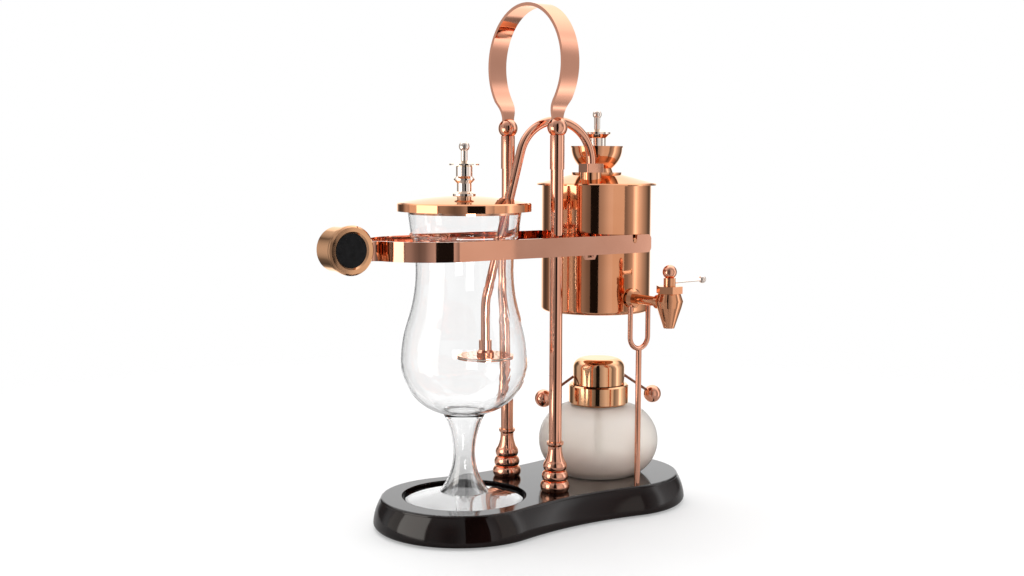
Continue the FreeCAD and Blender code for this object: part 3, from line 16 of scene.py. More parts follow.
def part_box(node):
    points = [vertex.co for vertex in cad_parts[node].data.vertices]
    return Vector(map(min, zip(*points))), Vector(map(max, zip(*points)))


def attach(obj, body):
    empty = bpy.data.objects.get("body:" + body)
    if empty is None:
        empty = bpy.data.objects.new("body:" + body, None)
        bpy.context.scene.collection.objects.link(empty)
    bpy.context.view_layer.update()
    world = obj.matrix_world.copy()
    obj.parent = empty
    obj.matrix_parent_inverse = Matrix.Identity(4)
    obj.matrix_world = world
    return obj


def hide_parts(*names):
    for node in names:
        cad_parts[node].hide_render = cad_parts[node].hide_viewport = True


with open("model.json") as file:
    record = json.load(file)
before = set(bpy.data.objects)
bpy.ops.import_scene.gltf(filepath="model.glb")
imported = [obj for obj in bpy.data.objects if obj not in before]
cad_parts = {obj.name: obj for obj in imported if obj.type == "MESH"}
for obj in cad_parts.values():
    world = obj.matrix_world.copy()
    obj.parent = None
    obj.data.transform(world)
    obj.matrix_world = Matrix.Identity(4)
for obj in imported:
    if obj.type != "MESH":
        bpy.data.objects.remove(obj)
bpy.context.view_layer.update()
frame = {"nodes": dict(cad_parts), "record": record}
node_slot = {entry["node"]: entry["material_slot"] for entry in frame["record"]["subparts"]}
bpy.ops.object.select_all(action="DESELECT")

# %% [markdown]
# The camera stands where the photographer stood: in front, to the left, a little above the
# middle of the piece and looking slightly down. A camera can be placed by trial, but here the
# known distances between the posts, the boiler and the glass gave its place by calculation.

# %% Set up the camera
CAMERA_PLACE = Vector((-0.6383, -0.8270, 0.28375))
LOOK = Vector((0.5965, 0.7966, -0.0981))
CAMERA_UP = Vector((0.0558, 0.0808, 0.9952))
LENS_MM = 46.68

scene = bpy.context.scene
camera_data = bpy.data.cameras.new("camera")
camera_data.sensor_width = 36.0
camera_data.lens = LENS_MM
camera = bpy.data.objects.new("camera", camera_data)
scene.collection.objects.link(camera)
back = -LOOK.normalized()
right = CAMERA_UP.cross(back).normalized()
up = back.cross(right)
camera.matrix_world = Matrix.Translation(CAMERA_PLACE) @ Matrix((right, up, back)).transposed().to_4x4()
scene.camera = camera
scene.view_settings.view_transform = "Standard"
print("camera at", [round(value, 3) for value in CAMERA_PLACE])

# %% [markdown]
# Every finish and the studio itself are small graphs of nodes. Adding a node, setting its values
# and joining it to the next one takes three lines each time, so a few helpers do it in one.

# %% Helpers for node trees
def new_node(tree, kind, **values):
    """Adds a node and sets its properties, or its sockets where no property has the name."""
    node = tree.nodes.new(kind)
    for name, value in values.items():
        if hasattr(node, name):
            setattr(node, name, value)
        else:
            node.inputs[name].default_value = value
    return node


def join(tree, source, target):
    """Joins one node's output to another's input."""
    tree.links.new(source, target)


def ramp(tree, stops):
    """A colour ramp from (place, grey) or (place, colour) stops."""
    node = tree.nodes.new("ShaderNodeValToRGB")
    elements = node.color_ramp.elements
    for index, (place, colour) in enumerate(stops):
        element = elements[index] if index < 2 else elements.new(place)
        element.position = place
        grey = not isinstance(colour, tuple)
        element.color = (colour, colour, colour, 1.0) if grey else (*colour, 1.0)
    return node


def math_node(tree, operation, first, second):
    """One sum of two values, where either may be a number or another node's output."""
    node = new_node(tree, "ShaderNodeMath", operation=operation)
    for socket, value in zip(node.inputs, (first, second)):
        if isinstance(value, (int, float)):
            socket.default_value = value
        else:
            join(tree, value, socket)
    return node.outputs[0]


def map_range(tree, value, source, result=(0.0, 1.0), interpolation="LINEAR"):
    """Maps a value from one range to another and holds it at the ends."""
    node = new_node(tree, "ShaderNodeMapRange", interpolation_type=interpolation)
    limits = ("From Min", "From Max", "To Min", "To Max")
    for name, limit in zip(limits, (*source, *result)):
        node.inputs[name].default_value = limit
    join(tree, value, node.inputs["Value"])
    return node.outputs["Result"]


# %% [markdown]
# Polished copper shows the room more than itself. A product studio surrounds it with bright
# cloths and dark gaps, which become the stripes on the boiler and the posts. Cards could stand
# all round the piece, but painting the bands on the world, by bearing from the camera, gives
# most of the stripes without noise. What the camera sees behind the piece, straight or through
# glass, stays plain white, while copper inside the glass still mirrors the bands.

# %% Paint the studio on the world
STUDIO_PEAK = 2.0
STUDIO_BANDS = (
    (-180, 1.45), (-157, 1.3), (-149, 0.25), (-138, 0.08), (-125, 0.15), (-114, 0.60), (-98, 0.55),
    (-88, 0.45), (-76, 0.60), (-54, 0.56), (-46, 0.14), (-38, 0.38), (-30, 0.34),
    (-22, 0.22), (-14, 0.16), (-4, 0.22), (4, 0.40), (11, 0.50), (24, 0.78), (40, 0.88),
    (50, 0.62), (60, 0.22), (68, 0.40), (78, 0.58), (87, 1.85), (96, 1.0), (112, 0.55),
    (124, 0.34), (138, 0.10), (149, 0.25), (157, 1.3), (180, 1.45),
)
CEILING_FROM, CEILING_FULL = 0.40, 0.72
CANOPY_BACK, CANOPY_FRONT = 1.9, 0.50
CANOPY_EDGE = 0.5

world = bpy.data.worlds.new("studio")
scene.world = world
world.use_nodes = True
tree = world.node_tree
tree.nodes.clear()
where = new_node(tree, "ShaderNodeTexCoord").outputs["Generated"]
to_right = new_node(tree, "ShaderNodeVectorMath", operation="DOT_PRODUCT")
to_right.inputs[1].default_value = (right.x, right.y, 0.0)
to_camera = new_node(tree, "ShaderNodeVectorMath", operation="DOT_PRODUCT")
to_camera.inputs[1].default_value = (back.x, back.y, 0.0)
height = new_node(tree, "ShaderNodeSeparateXYZ")
for node in (to_right, to_camera, height):
    join(tree, where, node.inputs[0])
bearing = math_node(tree, "ARCTAN2", to_right.outputs["Value"], to_camera.outputs["Value"])
turn = math_node(tree, "DIVIDE", bearing, 2.0 * math.pi)
around = math_node(tree, "ADD", turn, 0.5)
bands = ramp(tree, [((angle + 180) / 360, grey / STUDIO_PEAK) for angle, grey in STUDIO_BANDS])
join(tree, around, bands.inputs["Fac"])
ceiling = ramp(tree, [(CEILING_FROM, 0.0), (CEILING_FULL, 1.0)])
join(tree, height.outputs["Z"], ceiling.inputs["Fac"])
canopy = map_range(
    tree, to_camera.outputs["Value"], (-CANOPY_EDGE, CANOPY_EDGE),
    (CANOPY_BACK / STUDIO_PEAK, CANOPY_FRONT / STUDIO_PEAK), "SMOOTHSTEP",
)
overhead = new_node(tree, "ShaderNodeMix", data_type="RGBA")
join(tree, ceiling.outputs["Color"], overhead.inputs["Factor"])
join(tree, bands.outputs["Color"], overhead.inputs["A"])
join(tree, canopy, overhead.inputs["B"])
print("studio bands", len(STUDIO_BANDS))

# %% Show plain white behind the piece
rays = new_node(tree, "ShaderNodeLightPath")
not_mirrored = math_node(tree, "LESS_THAN", rays.outputs["Glossy Depth"], 0.5)
through_glass = math_node(tree, "MULTIPLY", rays.outputs["Is Transmission Ray"], not_mirrored)
plain = math_node(tree, "MAXIMUM", rays.outputs["Is Camera Ray"], through_glass)
seen = new_node(tree, "ShaderNodeMix", data_type="RGBA")
seen.inputs["B"].default_value = (1.0 / STUDIO_PEAK,) * 3 + (1.0,)
sky = new_node(tree, "ShaderNodeBackground", Strength=STUDIO_PEAK)
world_out = new_node(tree, "ShaderNodeOutputWorld")
join(tree, plain, seen.inputs["Factor"])
join(tree, overhead.outputs["Result"], seen.inputs["A"])
join(tree, seen.outputs["Result"], sky.inputs["Color"])
join(tree, sky.outputs[0], world_out.inputs["Surface"])
print("white background for camera and glass")

# %% [markdown]
# The floor is a white table that keeps only a faint shadow. It glows for the camera so that it
# runs into the white behind it, and it fades out with distance from the piece, so no horizon
# cuts the picture. Mirrors see it darker and smaller, so the copper's undersides stay deep brown.

# %% Lay the floor
FLOOR_SIDE = 2.0
FLOOR_WHITE, MIRRORED_WHITE = 0.86, 0.40
FLOOR_GLOW = 0.32
FADE_FROM, FADE_TO = 0.35, 0.9
MIRRORED_FADE = 1.2

bpy.ops.mesh.primitive_plane_add(size=FLOOR_SIDE, location=(0.0, 0.0, 0.0))
floor = bpy.context.object
floor.name = "floor"
floor_paint = bpy.data.materials.new("white_table")
floor_paint.use_nodes = True
tree = floor_paint.node_tree
tree.nodes.clear()
matt = new_node(tree, "ShaderNodeBsdfDiffuse")
glow = new_node(tree, "ShaderNodeEmission", Color=(1.0, 1.0, 1.0, 1.0), Strength=1.0)
nothing = new_node(tree, "ShaderNodeBsdfTransparent")
rays = new_node(tree, "ShaderNodeLightPath")
direct = math_node(tree, "MAXIMUM", rays.outputs["Is Camera Ray"], rays.outputs["Is Transmission Ray"])
shade = ramp(tree, [(0.0, FLOOR_WHITE), (1.0, MIRRORED_WHITE)])
join(tree, rays.outputs["Is Glossy Ray"], shade.inputs["Fac"])
join(tree, shade.outputs["Color"], matt.inputs["Color"])
table = new_node(tree, "ShaderNodeMixShader")
join(tree, math_node(tree, "MULTIPLY", direct, FLOOR_GLOW), table.inputs[0])
join(tree, matt.outputs[0], table.inputs[1])
join(tree, glow.outputs[0], table.inputs[2])
place = new_node(tree, "ShaderNodeTexCoord")
distance = new_node(tree, "ShaderNodeVectorMath", operation="LENGTH")
table_edge = new_node(tree, "ShaderNodeMixShader")
table_out = new_node(tree, "ShaderNodeOutputMaterial")
join(tree, place.outputs["Object"], distance.inputs[0])
mirrored = math_node(tree, "MULTIPLY", rays.outputs["Is Glossy Ray"], MIRRORED_FADE)
nearer = math_node(tree, "ADD", mirrored, 1.0)
reach = math_node(tree, "MULTIPLY", distance.outputs["Value"], nearer)
fade = map_range(tree, reach, (FADE_FROM, FADE_TO), interpolation="SMOOTHSTEP")
join(tree, fade, table_edge.inputs[0])
join(tree, table.outputs[0], table_edge.inputs[1])
join(tree, nothing.outputs[0], table_edge.inputs[2])
join(tree, table_edge.outputs[0], table_out.inputs["Surface"])
floor.data.materials.append(floor_paint)
print("floor", FLOOR_SIDE, "m")

# %% [markdown]
# Soft lights stand in for the studio's boxes: one overhead, one to each side, and a low one that
# lifts the lamp's frosted bowl. Small lamps would leave hard spots on every ball, and a bare world
# would leave no shadow, so the lights are wide and weak and the world does the rest.

# %% Hang the lights
def soft_light(name, place, target, side, watts):
    """A square soft light that faces a target point."""
    data = bpy.data.lights.new(name, "AREA")
    data.size = side
    data.energy = watts
    lamp = bpy.data.objects.new(name, data)
    scene.collection.objects.link(lamp)
    lamp.location = place
    lamp.rotation_euler = (Vector(target) - Vector(place)).to_track_quat("-Z", "Y").to_euler()
    lamp.visible_glossy = False


MIDDLE = (0.0, 0.0, 0.2)
BOWL = (0.085, 0.0, 0.06)
soft_light("overhead", (-0.15, 0.45, 1.2), MIDDLE, 0.9, 4.0)
soft_light("right_cloth", (0.9, -1.0, 0.7), MIDDLE, 0.9, 4.0)
soft_light("left_cloth", (-1.1, 0.2, 0.8), MIDDLE, 0.7, 2.0)
soft_light("low_cloth", (-0.45, -1.0, 0.12), BOWL, 0.35, 3.5)
print("lights 4")

# %% [markdown]
# Cards stand close to the piece, as a photographer sets them: a black one in front, which draws
# the dark line down the boiler and the posts and the black patch on the strap, a bright and a pale
# one to the left, which light the strap's end and the counterweight, and a small one on the right
# for the counterweight's rim. Bands painted far away couldn't do this, because near cards shift
# along the piece. Only mirrors see them, so they neither shade nor light anything else.

# %% Stand the cards
def studio_card(name, corners, tall, colour, strength):
    """An upright card between two floor points, seen only in mirrors."""
    (x_from, y_from), (x_to, y_to) = corners
    bpy.ops.object.select_all(action="DESELECT")
    bpy.ops.mesh.primitive_plane_add(
        size=1.0, location=((x_from + x_to) / 2.0, (y_from + y_to) / 2.0, tall / 2.0),
        rotation=(math.pi / 2.0, 0.0, math.atan2(y_to - y_from, x_to - x_from)),
    )
    card = bpy.context.object
    card.name = name
    card.scale = (math.dist(*corners), tall, 1.0)
    paint = bpy.data.materials.new(name)
    paint.use_nodes = True
    tree = paint.node_tree
    tree.nodes.clear()
    shine = new_node(tree, "ShaderNodeEmission", Color=colour, Strength=strength)
    card_out = new_node(tree, "ShaderNodeOutputMaterial")
    join(tree, shine.outputs[0], card_out.inputs["Surface"])
    card.data.materials.append(paint)
    for sight in ("camera", "diffuse", "transmission", "shadow", "volume_scatter"):
        setattr(card, f"visible_{sight}", False)


WARM_WHITE = (1.0, 0.96, 0.90, 1.0)
studio_card("black_card", ((-0.181, -0.200), (-0.076, -0.200)), 0.50, (0.01, 0.01, 0.01, 1.0), 1.0)
studio_card("bright_card", ((-0.431, -0.080), (-0.431, 0.190)), 0.30, WARM_WHITE, 3.2)
studio_card("pale_card", ((-0.431, 0.190), (-0.431, 0.380)), 0.40, WARM_WHITE, 0.9)
studio_card("weight_card", ((0.020, -0.346), (0.172, -0.346)), 0.34, WARM_WHITE, 0.78)
print("cards 4")

# %% [markdown]
# A finish of one even colour looks like plastic. Real surfaces change tone slowly over the
# piece, are hazier in some places than in others, and are never quite flat, so every finish
# here is built from the same four strokes: a pattern, a tone, a haze and a relief.

# %% Strokes that every finish is built from
PATTERN_SPAN = (0.3, 0.7)


def new_finish(name, **sockets):
    """A material with one principled shader whose even values are set on its own sockets."""
    finish = bpy.data.materials.new(name)
    finish.use_nodes = True
    shader = finish.node_tree.nodes["Principled BSDF"]
    for socket, value in sockets.items():
        shader.inputs[socket.replace("_", " ")].default_value = value
    return finish, finish.node_tree, shader


def noise(tree, scale, detail=3.0, stretch=(1.0, 1.0, 1.0)):
    """A noise pattern fixed to the object, with its features stretched along the axes."""
    place = new_node(tree, "ShaderNodeTexCoord")
    mapping = new_node(tree, "ShaderNodeMapping")
    mapping.inputs["Scale"].default_value = stretch
    pattern = new_node(tree, "ShaderNodeTexNoise")
    pattern.inputs["Scale"].default_value = scale
    pattern.inputs["Detail"].default_value = detail
    join(tree, place.outputs["Object"], mapping.inputs["Vector"])
    join(tree, mapping.outputs["Vector"], pattern.inputs["Vector"])
    return pattern.outputs["Fac"]


def tone(tree, shader, factor, dark, light, span=PATTERN_SPAN):
    """Varies the colour between two close tones."""
    mix = ramp(tree, list(zip(span, (dark, light))))
    join(tree, factor, mix.inputs["Fac"])
    join(tree, mix.outputs["Color"], shader.inputs["Base Color"])


def haze(tree, shader, factor, smooth, rough):
    """Varies the roughness between two values."""
    join(tree, map_range(tree, factor, PATTERN_SPAN, (smooth, rough)), shader.inputs["Roughness"])


def relief(tree, shader, factor, strength, distance):
    """Bends the surface by a pattern, a distance in metres deep."""
    bump = new_node(tree, "ShaderNodeBump")
    bump.inputs["Strength"].default_value = strength
    bump.inputs["Distance"].default_value = distance
    join(tree, factor, bump.inputs["Height"])
    join(tree, bump.outputs["Normal"], shader.inputs["Normal"])


print("strokes: pattern, tone, haze, relief")

# %% [markdown]
# Copper comes first, because most pieces wear it. The sheet pieces were rolled and buffed, so
# they carry a slow change of tone and a faint even haze. The turned pieces were polished in a
# lathe, which leaves very fine rings, so their relief is the same noise squeezed along the axis.
# The plating isn't one colour: it is redder on the boiler, rosier on the posts, straps and handle, and
# more golden on the lamp and the weight. The finial, the plug and the tap's lever are given a much paler
# copper.
# The snuffer's wires have browned.

# %% Make the coppers
GRAZING_TINT = (1.0, 0.93, 0.80, 1.0)
EVEN_MARKS = (1.0, 1.0, 1.0)
RING_MARKS = (0.05, 0.05, 3.0)


def copper_finish(name, smooth, rough, marks, depth, dark, light):
    finish, tree, shader = new_finish(name, Metallic=1.0, Specular_Tint=GRAZING_TINT)
    tone(tree, shader, noise(tree, 22.0, 2.0), dark, light)
    haze(tree, shader, noise(tree, 160.0, 4.0), smooth, rough)
    relief(tree, shader, noise(tree, 900.0, 2.0, marks), depth, 0.0001)
    return finish


red_copper = copper_finish(
    "polished_red_copper", 0.045, 0.085, EVEN_MARKS, 0.04, (0.78, 0.34, 0.178), (0.86, 0.40, 0.222),
)
rose_copper = copper_finish(
    "polished_rose_copper", 0.045, 0.085, EVEN_MARKS, 0.04, (0.80, 0.38, 0.255), (0.88, 0.44, 0.305),
)
turned_copper = copper_finish(
    "polished_turned_copper", 0.05, 0.10, RING_MARKS, 0.03, (0.80, 0.38, 0.255), (0.88, 0.44, 0.305),
)
golden_copper = copper_finish(
    "polished_golden_copper", 0.05, 0.10, RING_MARKS, 0.03, (0.82, 0.42, 0.225), (0.90, 0.50, 0.285),
)
pale_copper = copper_finish(
    "pale_turned_copper", 0.06, 0.12, RING_MARKS, 0.03, (0.90, 0.75, 0.67), (0.97, 0.86, 0.79),
)
browned_copper = copper_finish(
    "browned_copper_wire", 0.16, 0.28, EVEN_MARKS, 0.06, (0.20, 0.085, 0.055), (0.32, 0.14, 0.09),
)
coppers = (red_copper, rose_copper, turned_copper, golden_copper, pale_copper, browned_copper)
print("coppers", [finish.name for finish in coppers])

# %% [markdown]
# The board is wood under a dark lacquer. Its colour is nearly black with a trace of red-brown
# that follows the grain, and its gloss is one clear film: seen from above it mirrors little, and
# along its top it mirrors the white behind. The black disc is duller, so that it stays black.

# %% Make the lacquer and the black disc
lacquer, tree, shader = new_finish("black_brown_lacquer", Specular_IOR_Level=0.38)
tone(tree, shader, noise(tree, 9.0, 5.0, (1.0, 7.0, 7.0)), (0.003, 0.0012, 0.001), (0.008, 0.003, 0.0025))
haze(tree, shader, noise(tree, 30.0, 3.0), 0.06, 0.12)
relief(tree, shader, noise(tree, 60.0, 2.0), 0.04, 0.0004)

black_disc, tree, shader = new_finish("plain_black_disc", Specular_IOR_Level=0.15)
tone(tree, shader, noise(tree, 200.0, 3.0), (0.004, 0.004, 0.0045), (0.009, 0.009, 0.010))
haze(tree, shader, noise(tree, 120.0, 3.0), 0.30, 0.42)
relief(tree, shader, noise(tree, 800.0, 3.0), 0.06, 0.0002)
print("dark finishes", lacquer.name, black_disc.name)

# %% [markdown]
# Clear glass is drawn by its edges, which look grey where the wall is seen edge-on. Those grey lines are
# painted shade: a tint that depends on how squarely a face is seen darkens the glass's colour there.
# Blown glass is also never quite even, so its wall waves slowly. The flat foot lies nearly along
# the view and mirrors the white behind it twice, from its top and from below, so it has a coat.

# %% Make the clear glass
FOOT_TOP = 0.036
STEM_LOW = 0.050
clear_glass, tree, shader = new_finish("clear_glass", Transmission_Weight=1.0, IOR=1.46, Coat_IOR=1.7)
facing = new_node(tree, "ShaderNodeLayerWeight", Blend=0.5)
# painted shade: the glass turns grey towards its edges, by how squarely each face is seen
painted_edge_shade = ramp(tree, [(0.66, (1.0, 1.0, 1.0)), (0.84, (0.88, 0.89, 0.89)), (0.95, (0.25, 0.26, 0.26))])
place = new_node(tree, "ShaderNodeTexCoord")
level = new_node(tree, "ShaderNodeSeparateXYZ")
join(tree, place.outputs["Object"], level.inputs[0])
foot = map_range(tree, level.outputs["Z"], (FOOT_TOP, STEM_LOW), (1.0, 0.0))
join(tree, foot, shader.inputs["Coat Weight"])
join(tree, facing.outputs["Facing"], painted_edge_shade.inputs["Fac"])
join(tree, painted_edge_shade.outputs["Color"], shader.inputs["Base Color"])
haze(tree, shader, noise(tree, 40.0, 2.0), 0.0, 0.012)
relief(tree, shader, noise(tree, 14.0, 1.0), 0.01, 0.002)
print("clear glass")

# %% [markdown]
# The lamp's bowl was blasted with sand or etched, so it glows softly instead of showing what is behind
# it. Its colour is a little warm, and light and shade are painted into it by height: painted light at its
# shoulder, and painted shade at its top and near the board, where it stands for the spirit and the dark
# lacquer seen through the wall. Painted shade also greys its rim, seen edge-on.

# %% Make the frosted glass
BOWL_LOW, BOWL_HIGH = 0.026, 0.088
CLOUD_SHARE = 0.08
frosted, tree, shader = new_finish("frosted_glass", Transmission_Weight=0.7, IOR=1.14)
haze(tree, shader, noise(tree, 250.0, 3.0), 0.36, 0.44)
relief(tree, shader, noise(tree, 1400.0, 3.0), 0.25, 0.0002)
place = new_node(tree, "ShaderNodeTexCoord")
level = new_node(tree, "ShaderNodeSeparateXYZ")
join(tree, place.outputs["Object"], level.inputs[0])
# painted light and shade by height: darker near the board and at the top, lightest at the shoulder, with
# a little random cloud
shade_by_height = map_range(tree, level.outputs["Z"], (BOWL_LOW, BOWL_HIGH))
cloudy = math_node(tree, "MULTIPLY", noise(tree, 45.0, 3.0), CLOUD_SHARE)
shade_by_height_and_cloud = math_node(tree, "ADD", shade_by_height, cloudy)
bowl_tone_and_shade = ramp(tree, [
    (0.05, (0.80, 0.69, 0.62)), (0.30, (0.90, 0.82, 0.76)), (0.48, (1.0, 0.96, 0.91)),
    (0.80, (1.0, 0.96, 0.92)), (1.0, (0.88, 0.80, 0.74)),
])
join(tree, shade_by_height_and_cloud, bowl_tone_and_shade.inputs["Fac"])
rim = new_node(tree, "ShaderNodeLayerWeight", Blend=0.5)
# painted shade: the bowl turns greyer at its rim, seen edge-on
painted_rim_shade = ramp(tree, [(0.55, 1.0), (0.78, 0.86), (0.95, 0.60)])
bowl_tone_with_rim_shade = new_node(tree, "ShaderNodeVectorMath", operation="MULTIPLY")
join(tree, rim.outputs["Facing"], painted_rim_shade.inputs["Fac"])
join(tree, bowl_tone_and_shade.outputs["Color"], bowl_tone_with_rim_shade.inputs[0])
join(tree, painted_rim_shade.outputs["Color"], bowl_tone_with_rim_shade.inputs[1])
join(tree, bowl_tone_with_rim_shade.outputs["Vector"], shader.inputs["Base Color"])
print("frosted glass from", BOWL_LOW, "to", BOWL_HIGH, "m")

# %% [markdown]
# The rest is small: pale silicone rings, plain steel nuts and pins that are mostly hidden, black
# felt under the board and the cotton of the wick. The filter cloth gets a finish of its own where
# it is made.

# %% Make the rings, steel and fabrics
seal_rubber, tree, shader = new_finish("pale_silicone", Roughness=0.5, Subsurface_Weight=0.1)
tone(tree, shader, noise(tree, 90.0, 3.0), (0.60, 0.56, 0.52), (0.68, 0.64, 0.60))
relief(tree, shader, noise(tree, 600.0, 2.0), 0.1, 0.0002)

steel, tree, shader = new_finish("plain_steel", Metallic=1.0)
tone(tree, shader, noise(tree, 120.0, 3.0), (0.48, 0.48, 0.48), (0.60, 0.60, 0.60))
haze(tree, shader, noise(tree, 300.0, 4.0), 0.22, 0.38)
relief(tree, shader, noise(tree, 900.0, 3.0), 0.1, 0.0002)

felt, tree, shader = new_finish("felt", Roughness=0.95, Sheen_Weight=0.3)
tone(tree, shader, noise(tree, 700.0, 6.0), (0.012, 0.012, 0.012), (0.04, 0.04, 0.04))
relief(tree, shader, noise(tree, 1500.0, 4.0), 0.5, 0.0004)

cotton, tree, shader = new_finish("wick_cotton", Roughness=0.9, Sheen_Weight=0.4)
tone(tree, shader, noise(tree, 900.0, 4.0, (1.0, 1.0, 0.2)), (0.66, 0.60, 0.50), (0.85, 0.80, 0.70))
relief(tree, shader, noise(tree, 1200.0, 3.0), 0.4, 0.0004)
print("small finishes 4")

# %% [markdown]
# Each solid now gets its finish. The record names a slot for every node, and the slot picks the
# finish. Copper has six, so the pieces that aren't red copper sheet are named here.

# %% Dress the solid pieces
COPPER_PIECES = {
    rose_copper: (
        "front_beam_strap", "rear_beam_strap", "carry_handle", "siphon_tube", "tube_block", "tap_fork",
        "weight_stem", "filter_top_plate", "filter_bottom_plate", "filter_nut", "filter_socket",
    ),
    turned_copper: (
        "front_post", "rear_post", "front_post_foot", "rear_post_foot", "front_post_sleeve",
        "rear_post_sleeve", "front_ball_nut", "rear_ball_nut", "tap_knob", "snuffer_balls",
    ),
    golden_copper: ("counterweight_barrel", "counterweight_bezel", "snuffer_cap", "lamp_collar"),
    pale_copper: ("lid_finial", "filler_plug", "tap_lever"),
    browned_copper: ("snuffer_wires",),
}
FINISHES = {
    "copper": red_copper, "lacquer": lacquer, "clear_glass": clear_glass, "frosted_glass": frosted,
    "felt": felt, "seal_rubber": seal_rubber, "black_disc": black_disc, "cotton": cotton, "steel": steel,
}
own_finish = {name: finish for finish, names in COPPER_PIECES.items() for name in names}
for name, piece in frame["nodes"].items():
    piece.data.materials.clear()
    piece.data.materials.append(own_finish.get(name, FINISHES[node_slot[name]]))
print("dressed", len(frame["nodes"]), "pieces")

# %% [markdown]
# The solids of the wick, the filter cloth and the felt are plain blocks, so pieces made here take
# their places. They share a few moves: apply a modifier, put a piece's place into its mesh, and
# hand the finished piece to the body that it moves with.

# %% Moves that the soft pieces share
def apply_modifier(piece, kind, **settings):
    """Adds a modifier with its settings and applies it at once."""
    modifier = piece.modifiers.new(kind.lower(), kind)
    for name, value in settings.items():
        setattr(modifier, name, value)
    bpy.context.view_layer.objects.active = piece
    bpy.ops.object.modifier_apply(modifier=modifier.name)


def settle(piece):
    """Puts the piece's place, turn and scale into its mesh."""
    bpy.ops.object.select_all(action="DESELECT")
    piece.select_set(True)
    bpy.context.view_layer.objects.active = piece
    bpy.ops.object.transform_apply(location=True, rotation=True, scale=True)


def hand_over(piece, name, finish, body, node):
    """Names and dresses a finished piece that rides on a body in place of a solid node."""
    piece.name = name
    piece.data.materials.clear()
    piece.data.materials.append(finish)
    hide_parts(node)
    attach(piece, body)
    print(name, len(piece.data.polygons), "faces")


print("moves ready")

# %% [markdown]
# The wick is a cotton cord of six strands laid round a core. One strand is a small circle that the
# Screw modifier carries up the axis in a helix. It could also be a curve with a bevel, but the
# screw keeps the pitch exact. Turned copies of it lie round a thin core, which closes the middle.

# %% Lay the wick's strands
wick_low, wick_high = (Vector(corner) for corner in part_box("wick"))
wick_axis = (wick_low + wick_high) / 2.0
wick_radius = (wick_high.x - wick_low.x) / 2.0
wick_length = wick_high.z - wick_low.z
STRANDS = 6
STRAND_SHARE = 0.335
CORE_OVERLAP = 0.55
STRAND_RADIUS = wick_radius * STRAND_SHARE
LAY_RADIUS = wick_radius - STRAND_RADIUS
LAY_TURNS = 4
LAY_STEPS = 48 * LAY_TURNS

bpy.ops.object.select_all(action="DESELECT")
bpy.ops.mesh.primitive_circle_add(
    vertices=10, radius=STRAND_RADIUS, fill_type="NGON",
    location=(LAY_RADIUS, 0.0, 0.0), rotation=(math.pi / 2.0, 0.0, 0.0),
)
strand = bpy.context.object
settle(strand)
apply_modifier(
    strand, "SCREW", axis="Z", angle=LAY_TURNS * 2.0 * math.pi,
    screw_offset=wick_length - 2.0 * STRAND_RADIUS,
    steps=LAY_STEPS, render_steps=LAY_STEPS, use_merge_vertices=False, use_normal_calculate=True,
)
print("strand", len(strand.data.polygons), "faces")

# %% Copy the strand round a core
core_radius = LAY_RADIUS - STRAND_RADIUS * CORE_OVERLAP
bpy.ops.object.select_all(action="DESELECT")
bpy.ops.mesh.primitive_cylinder_add(
    vertices=20, radius=core_radius, depth=wick_length - 3.0 * STRAND_RADIUS,
    location=(0.0, 0.0, wick_length / 2.0 - STRAND_RADIUS),
)
core = bpy.context.object
settle(core)
apply_modifier(core, "BEVEL", width=core_radius * 0.3, segments=3)
bpy.ops.object.select_all(action="DESELECT")
for index in range(STRANDS):
    copy = strand.copy()
    copy.data = strand.data.copy()
    scene.collection.objects.link(copy)
    copy.matrix_world = Matrix.Rotation(index * 2.0 * math.pi / STRANDS, 4, "Z")
    copy.select_set(True)
core.select_set(True)
bpy.context.view_layer.objects.active = core
bpy.ops.object.join()
bpy.data.objects.remove(strand)
core.location = (wick_axis.x, wick_axis.y, wick_low.z + STRAND_RADIUS)
settle(core)
bpy.ops.object.mode_set(mode="EDIT")
bpy.ops.mesh.select_all(action="SELECT")
bpy.ops.mesh.normals_make_consistent(inside=False)
bpy.ops.object.mode_set(mode="OBJECT")
bpy.ops.object.shade_smooth_by_angle(angle=math.radians(50.0))
hand_over(core, "twisted_wick", cotton, "lamp", "wick")

# %% [markdown]
# The filter cloth is a round piece of cotton pressed flat between two pierced plates. It starts as
# a disc that is inset into rings, which keep its faces even, and a Solidify modifier gives it the
# thickness of the cloth. Its threads run along X and Y, so its finish draws the weave as two
# crossing waves.

# %% Weave the filter cloth
filter_cotton, tree, shader = new_finish("filter_cloth_weave", Roughness=0.92, Sheen_Weight=0.35)
THREAD_STEP = 0.0009
THREAD_PHASE = 2.0 * math.pi / THREAD_STEP
WEAVE_MIDDLE, WEAVE_SWING, FUZZ_SHARE = 0.5, 0.4, 0.2
WEAVE_SPAN = (0.2, 0.9)
place = new_node(tree, "ShaderNodeTexCoord")
thread = new_node(tree, "ShaderNodeSeparateXYZ")
join(tree, place.outputs["Object"], thread.inputs[0])
along, across = (
    math_node(tree, "SINE", math_node(tree, "MULTIPLY", thread.outputs[axis], THREAD_PHASE), 0.0)
    for axis in ("X", "Y")
)
crossing = math_node(tree, "MULTIPLY", along, across)
weave = math_node(tree, "ADD", math_node(tree, "MULTIPLY", crossing, WEAVE_SWING), WEAVE_MIDDLE)
fuzz = math_node(tree, "MULTIPLY", noise(tree, 900.0, 4.0), FUZZ_SHARE)
fuzzy = math_node(tree, "ADD", weave, fuzz)
tone(tree, shader, fuzzy, (0.62, 0.56, 0.46), (0.86, 0.81, 0.71), WEAVE_SPAN)
relief(tree, shader, fuzzy, 0.5, 0.0003)
print("threads", THREAD_STEP, "m apart")

# %% Cut the filter cloth
cloth_low, cloth_high = (Vector(corner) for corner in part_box("filter_cloth"))
cloth_middle = (cloth_low + cloth_high) / 2.0
cloth_radius = (cloth_high.x - cloth_low.x) / 2.0
cloth_thickness = cloth_high.z - cloth_low.z
CLOTH_RINGS = 6

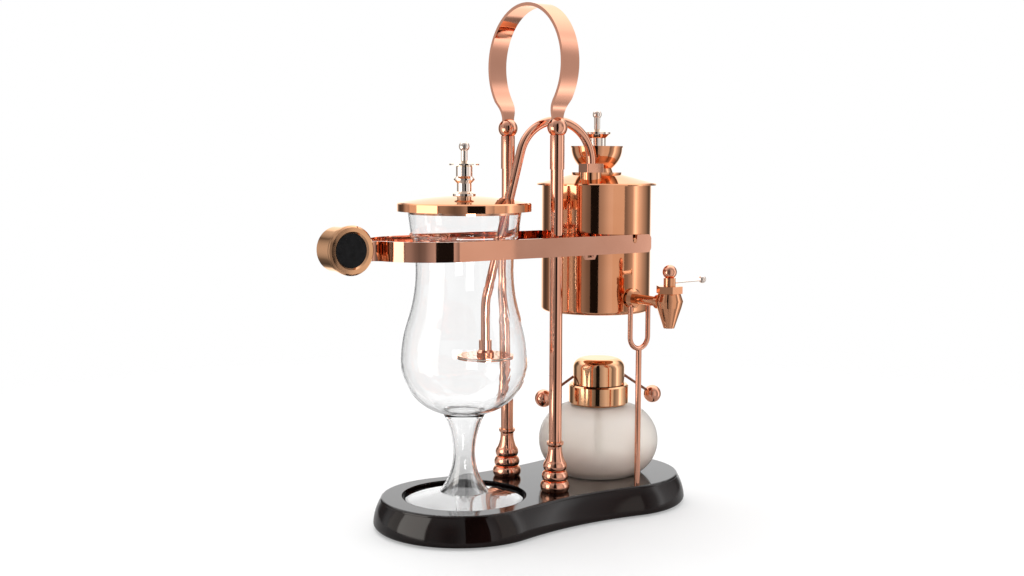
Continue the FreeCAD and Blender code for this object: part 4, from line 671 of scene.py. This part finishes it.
bpy.ops.object.select_all(action="DESELECT")
bpy.ops.mesh.primitive_circle_add(
    vertices=96, radius=cloth_radius, fill_type="NGON", location=cloth_middle,
)
cloth = bpy.context.object
settle(cloth)
bpy.ops.object.mode_set(mode="EDIT")
bpy.ops.mesh.select_all(action="SELECT")
for ring in range(CLOTH_RINGS):
    bpy.ops.mesh.inset(thickness=cloth_radius / (CLOTH_RINGS + 1), depth=0.0)
bpy.ops.mesh.poke()
bpy.ops.object.mode_set(mode="OBJECT")
apply_modifier(cloth, "SOLIDIFY", thickness=cloth_thickness * 0.9, offset=0.0, use_even_offset=True)
apply_modifier(cloth, "BEVEL", width=cloth_thickness * 0.3, segments=3, limit_method="ANGLE")
bpy.ops.object.shade_smooth_by_angle(angle=math.radians(40.0))
hand_over(cloth, "woven_filter_cloth", filter_cotton, "boiler", "filter_cloth")

# %% [markdown]
# Felt keeps the board from scratching the table. It follows the board's outline a little inside
# its edge, so it is two discs and a strip joined with Boolean, and a bevel rounds its cut edge,
# because scissors leave the edge of thick felt soft.

# %% Cut the felt
felt_low, felt_high = (Vector(corner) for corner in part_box("base_felt"))
felt_thickness = felt_high.z - felt_low.z
felt_radius = (felt_high.y - felt_low.y) / 2.0
WAIST_HALF = 0.0525
lobe_middles = (felt_low.x + felt_radius, felt_high.x - felt_radius)


def felt_disc(middle):
    bpy.ops.object.select_all(action="DESELECT")
    bpy.ops.mesh.primitive_cylinder_add(
        vertices=160, radius=felt_radius, depth=felt_thickness,
        location=(middle, 0.0, felt_low.z + felt_thickness / 2.0),
    )
    disc = bpy.context.object
    settle(disc)
    return disc


felt_pad, right_lobe = (felt_disc(middle) for middle in lobe_middles)
bpy.ops.object.select_all(action="DESELECT")
felt_middle = (sum(lobe_middles) / 2.0, 0.0, felt_low.z + felt_thickness / 2.0)
bpy.ops.mesh.primitive_cube_add(size=1.0, location=felt_middle)
waist = bpy.context.object
waist.scale = (lobe_middles[1] - lobe_middles[0], 2.0 * WAIST_HALF, felt_thickness)
settle(waist)
for other in (waist, right_lobe):
    apply_modifier(felt_pad, "BOOLEAN", operation="UNION", solver="EXACT", object=other)
    bpy.data.objects.remove(other)
print("felt outline", len(felt_pad.data.vertices), "points")

# %% Soften the felt
apply_modifier(felt_pad, "BEVEL", width=felt_thickness * 0.25, segments=3, limit_method="ANGLE")
bpy.ops.object.shade_smooth_by_angle(angle=math.radians(40.0))
hand_over(felt_pad, "board_felt", felt, "stand", "base_felt")
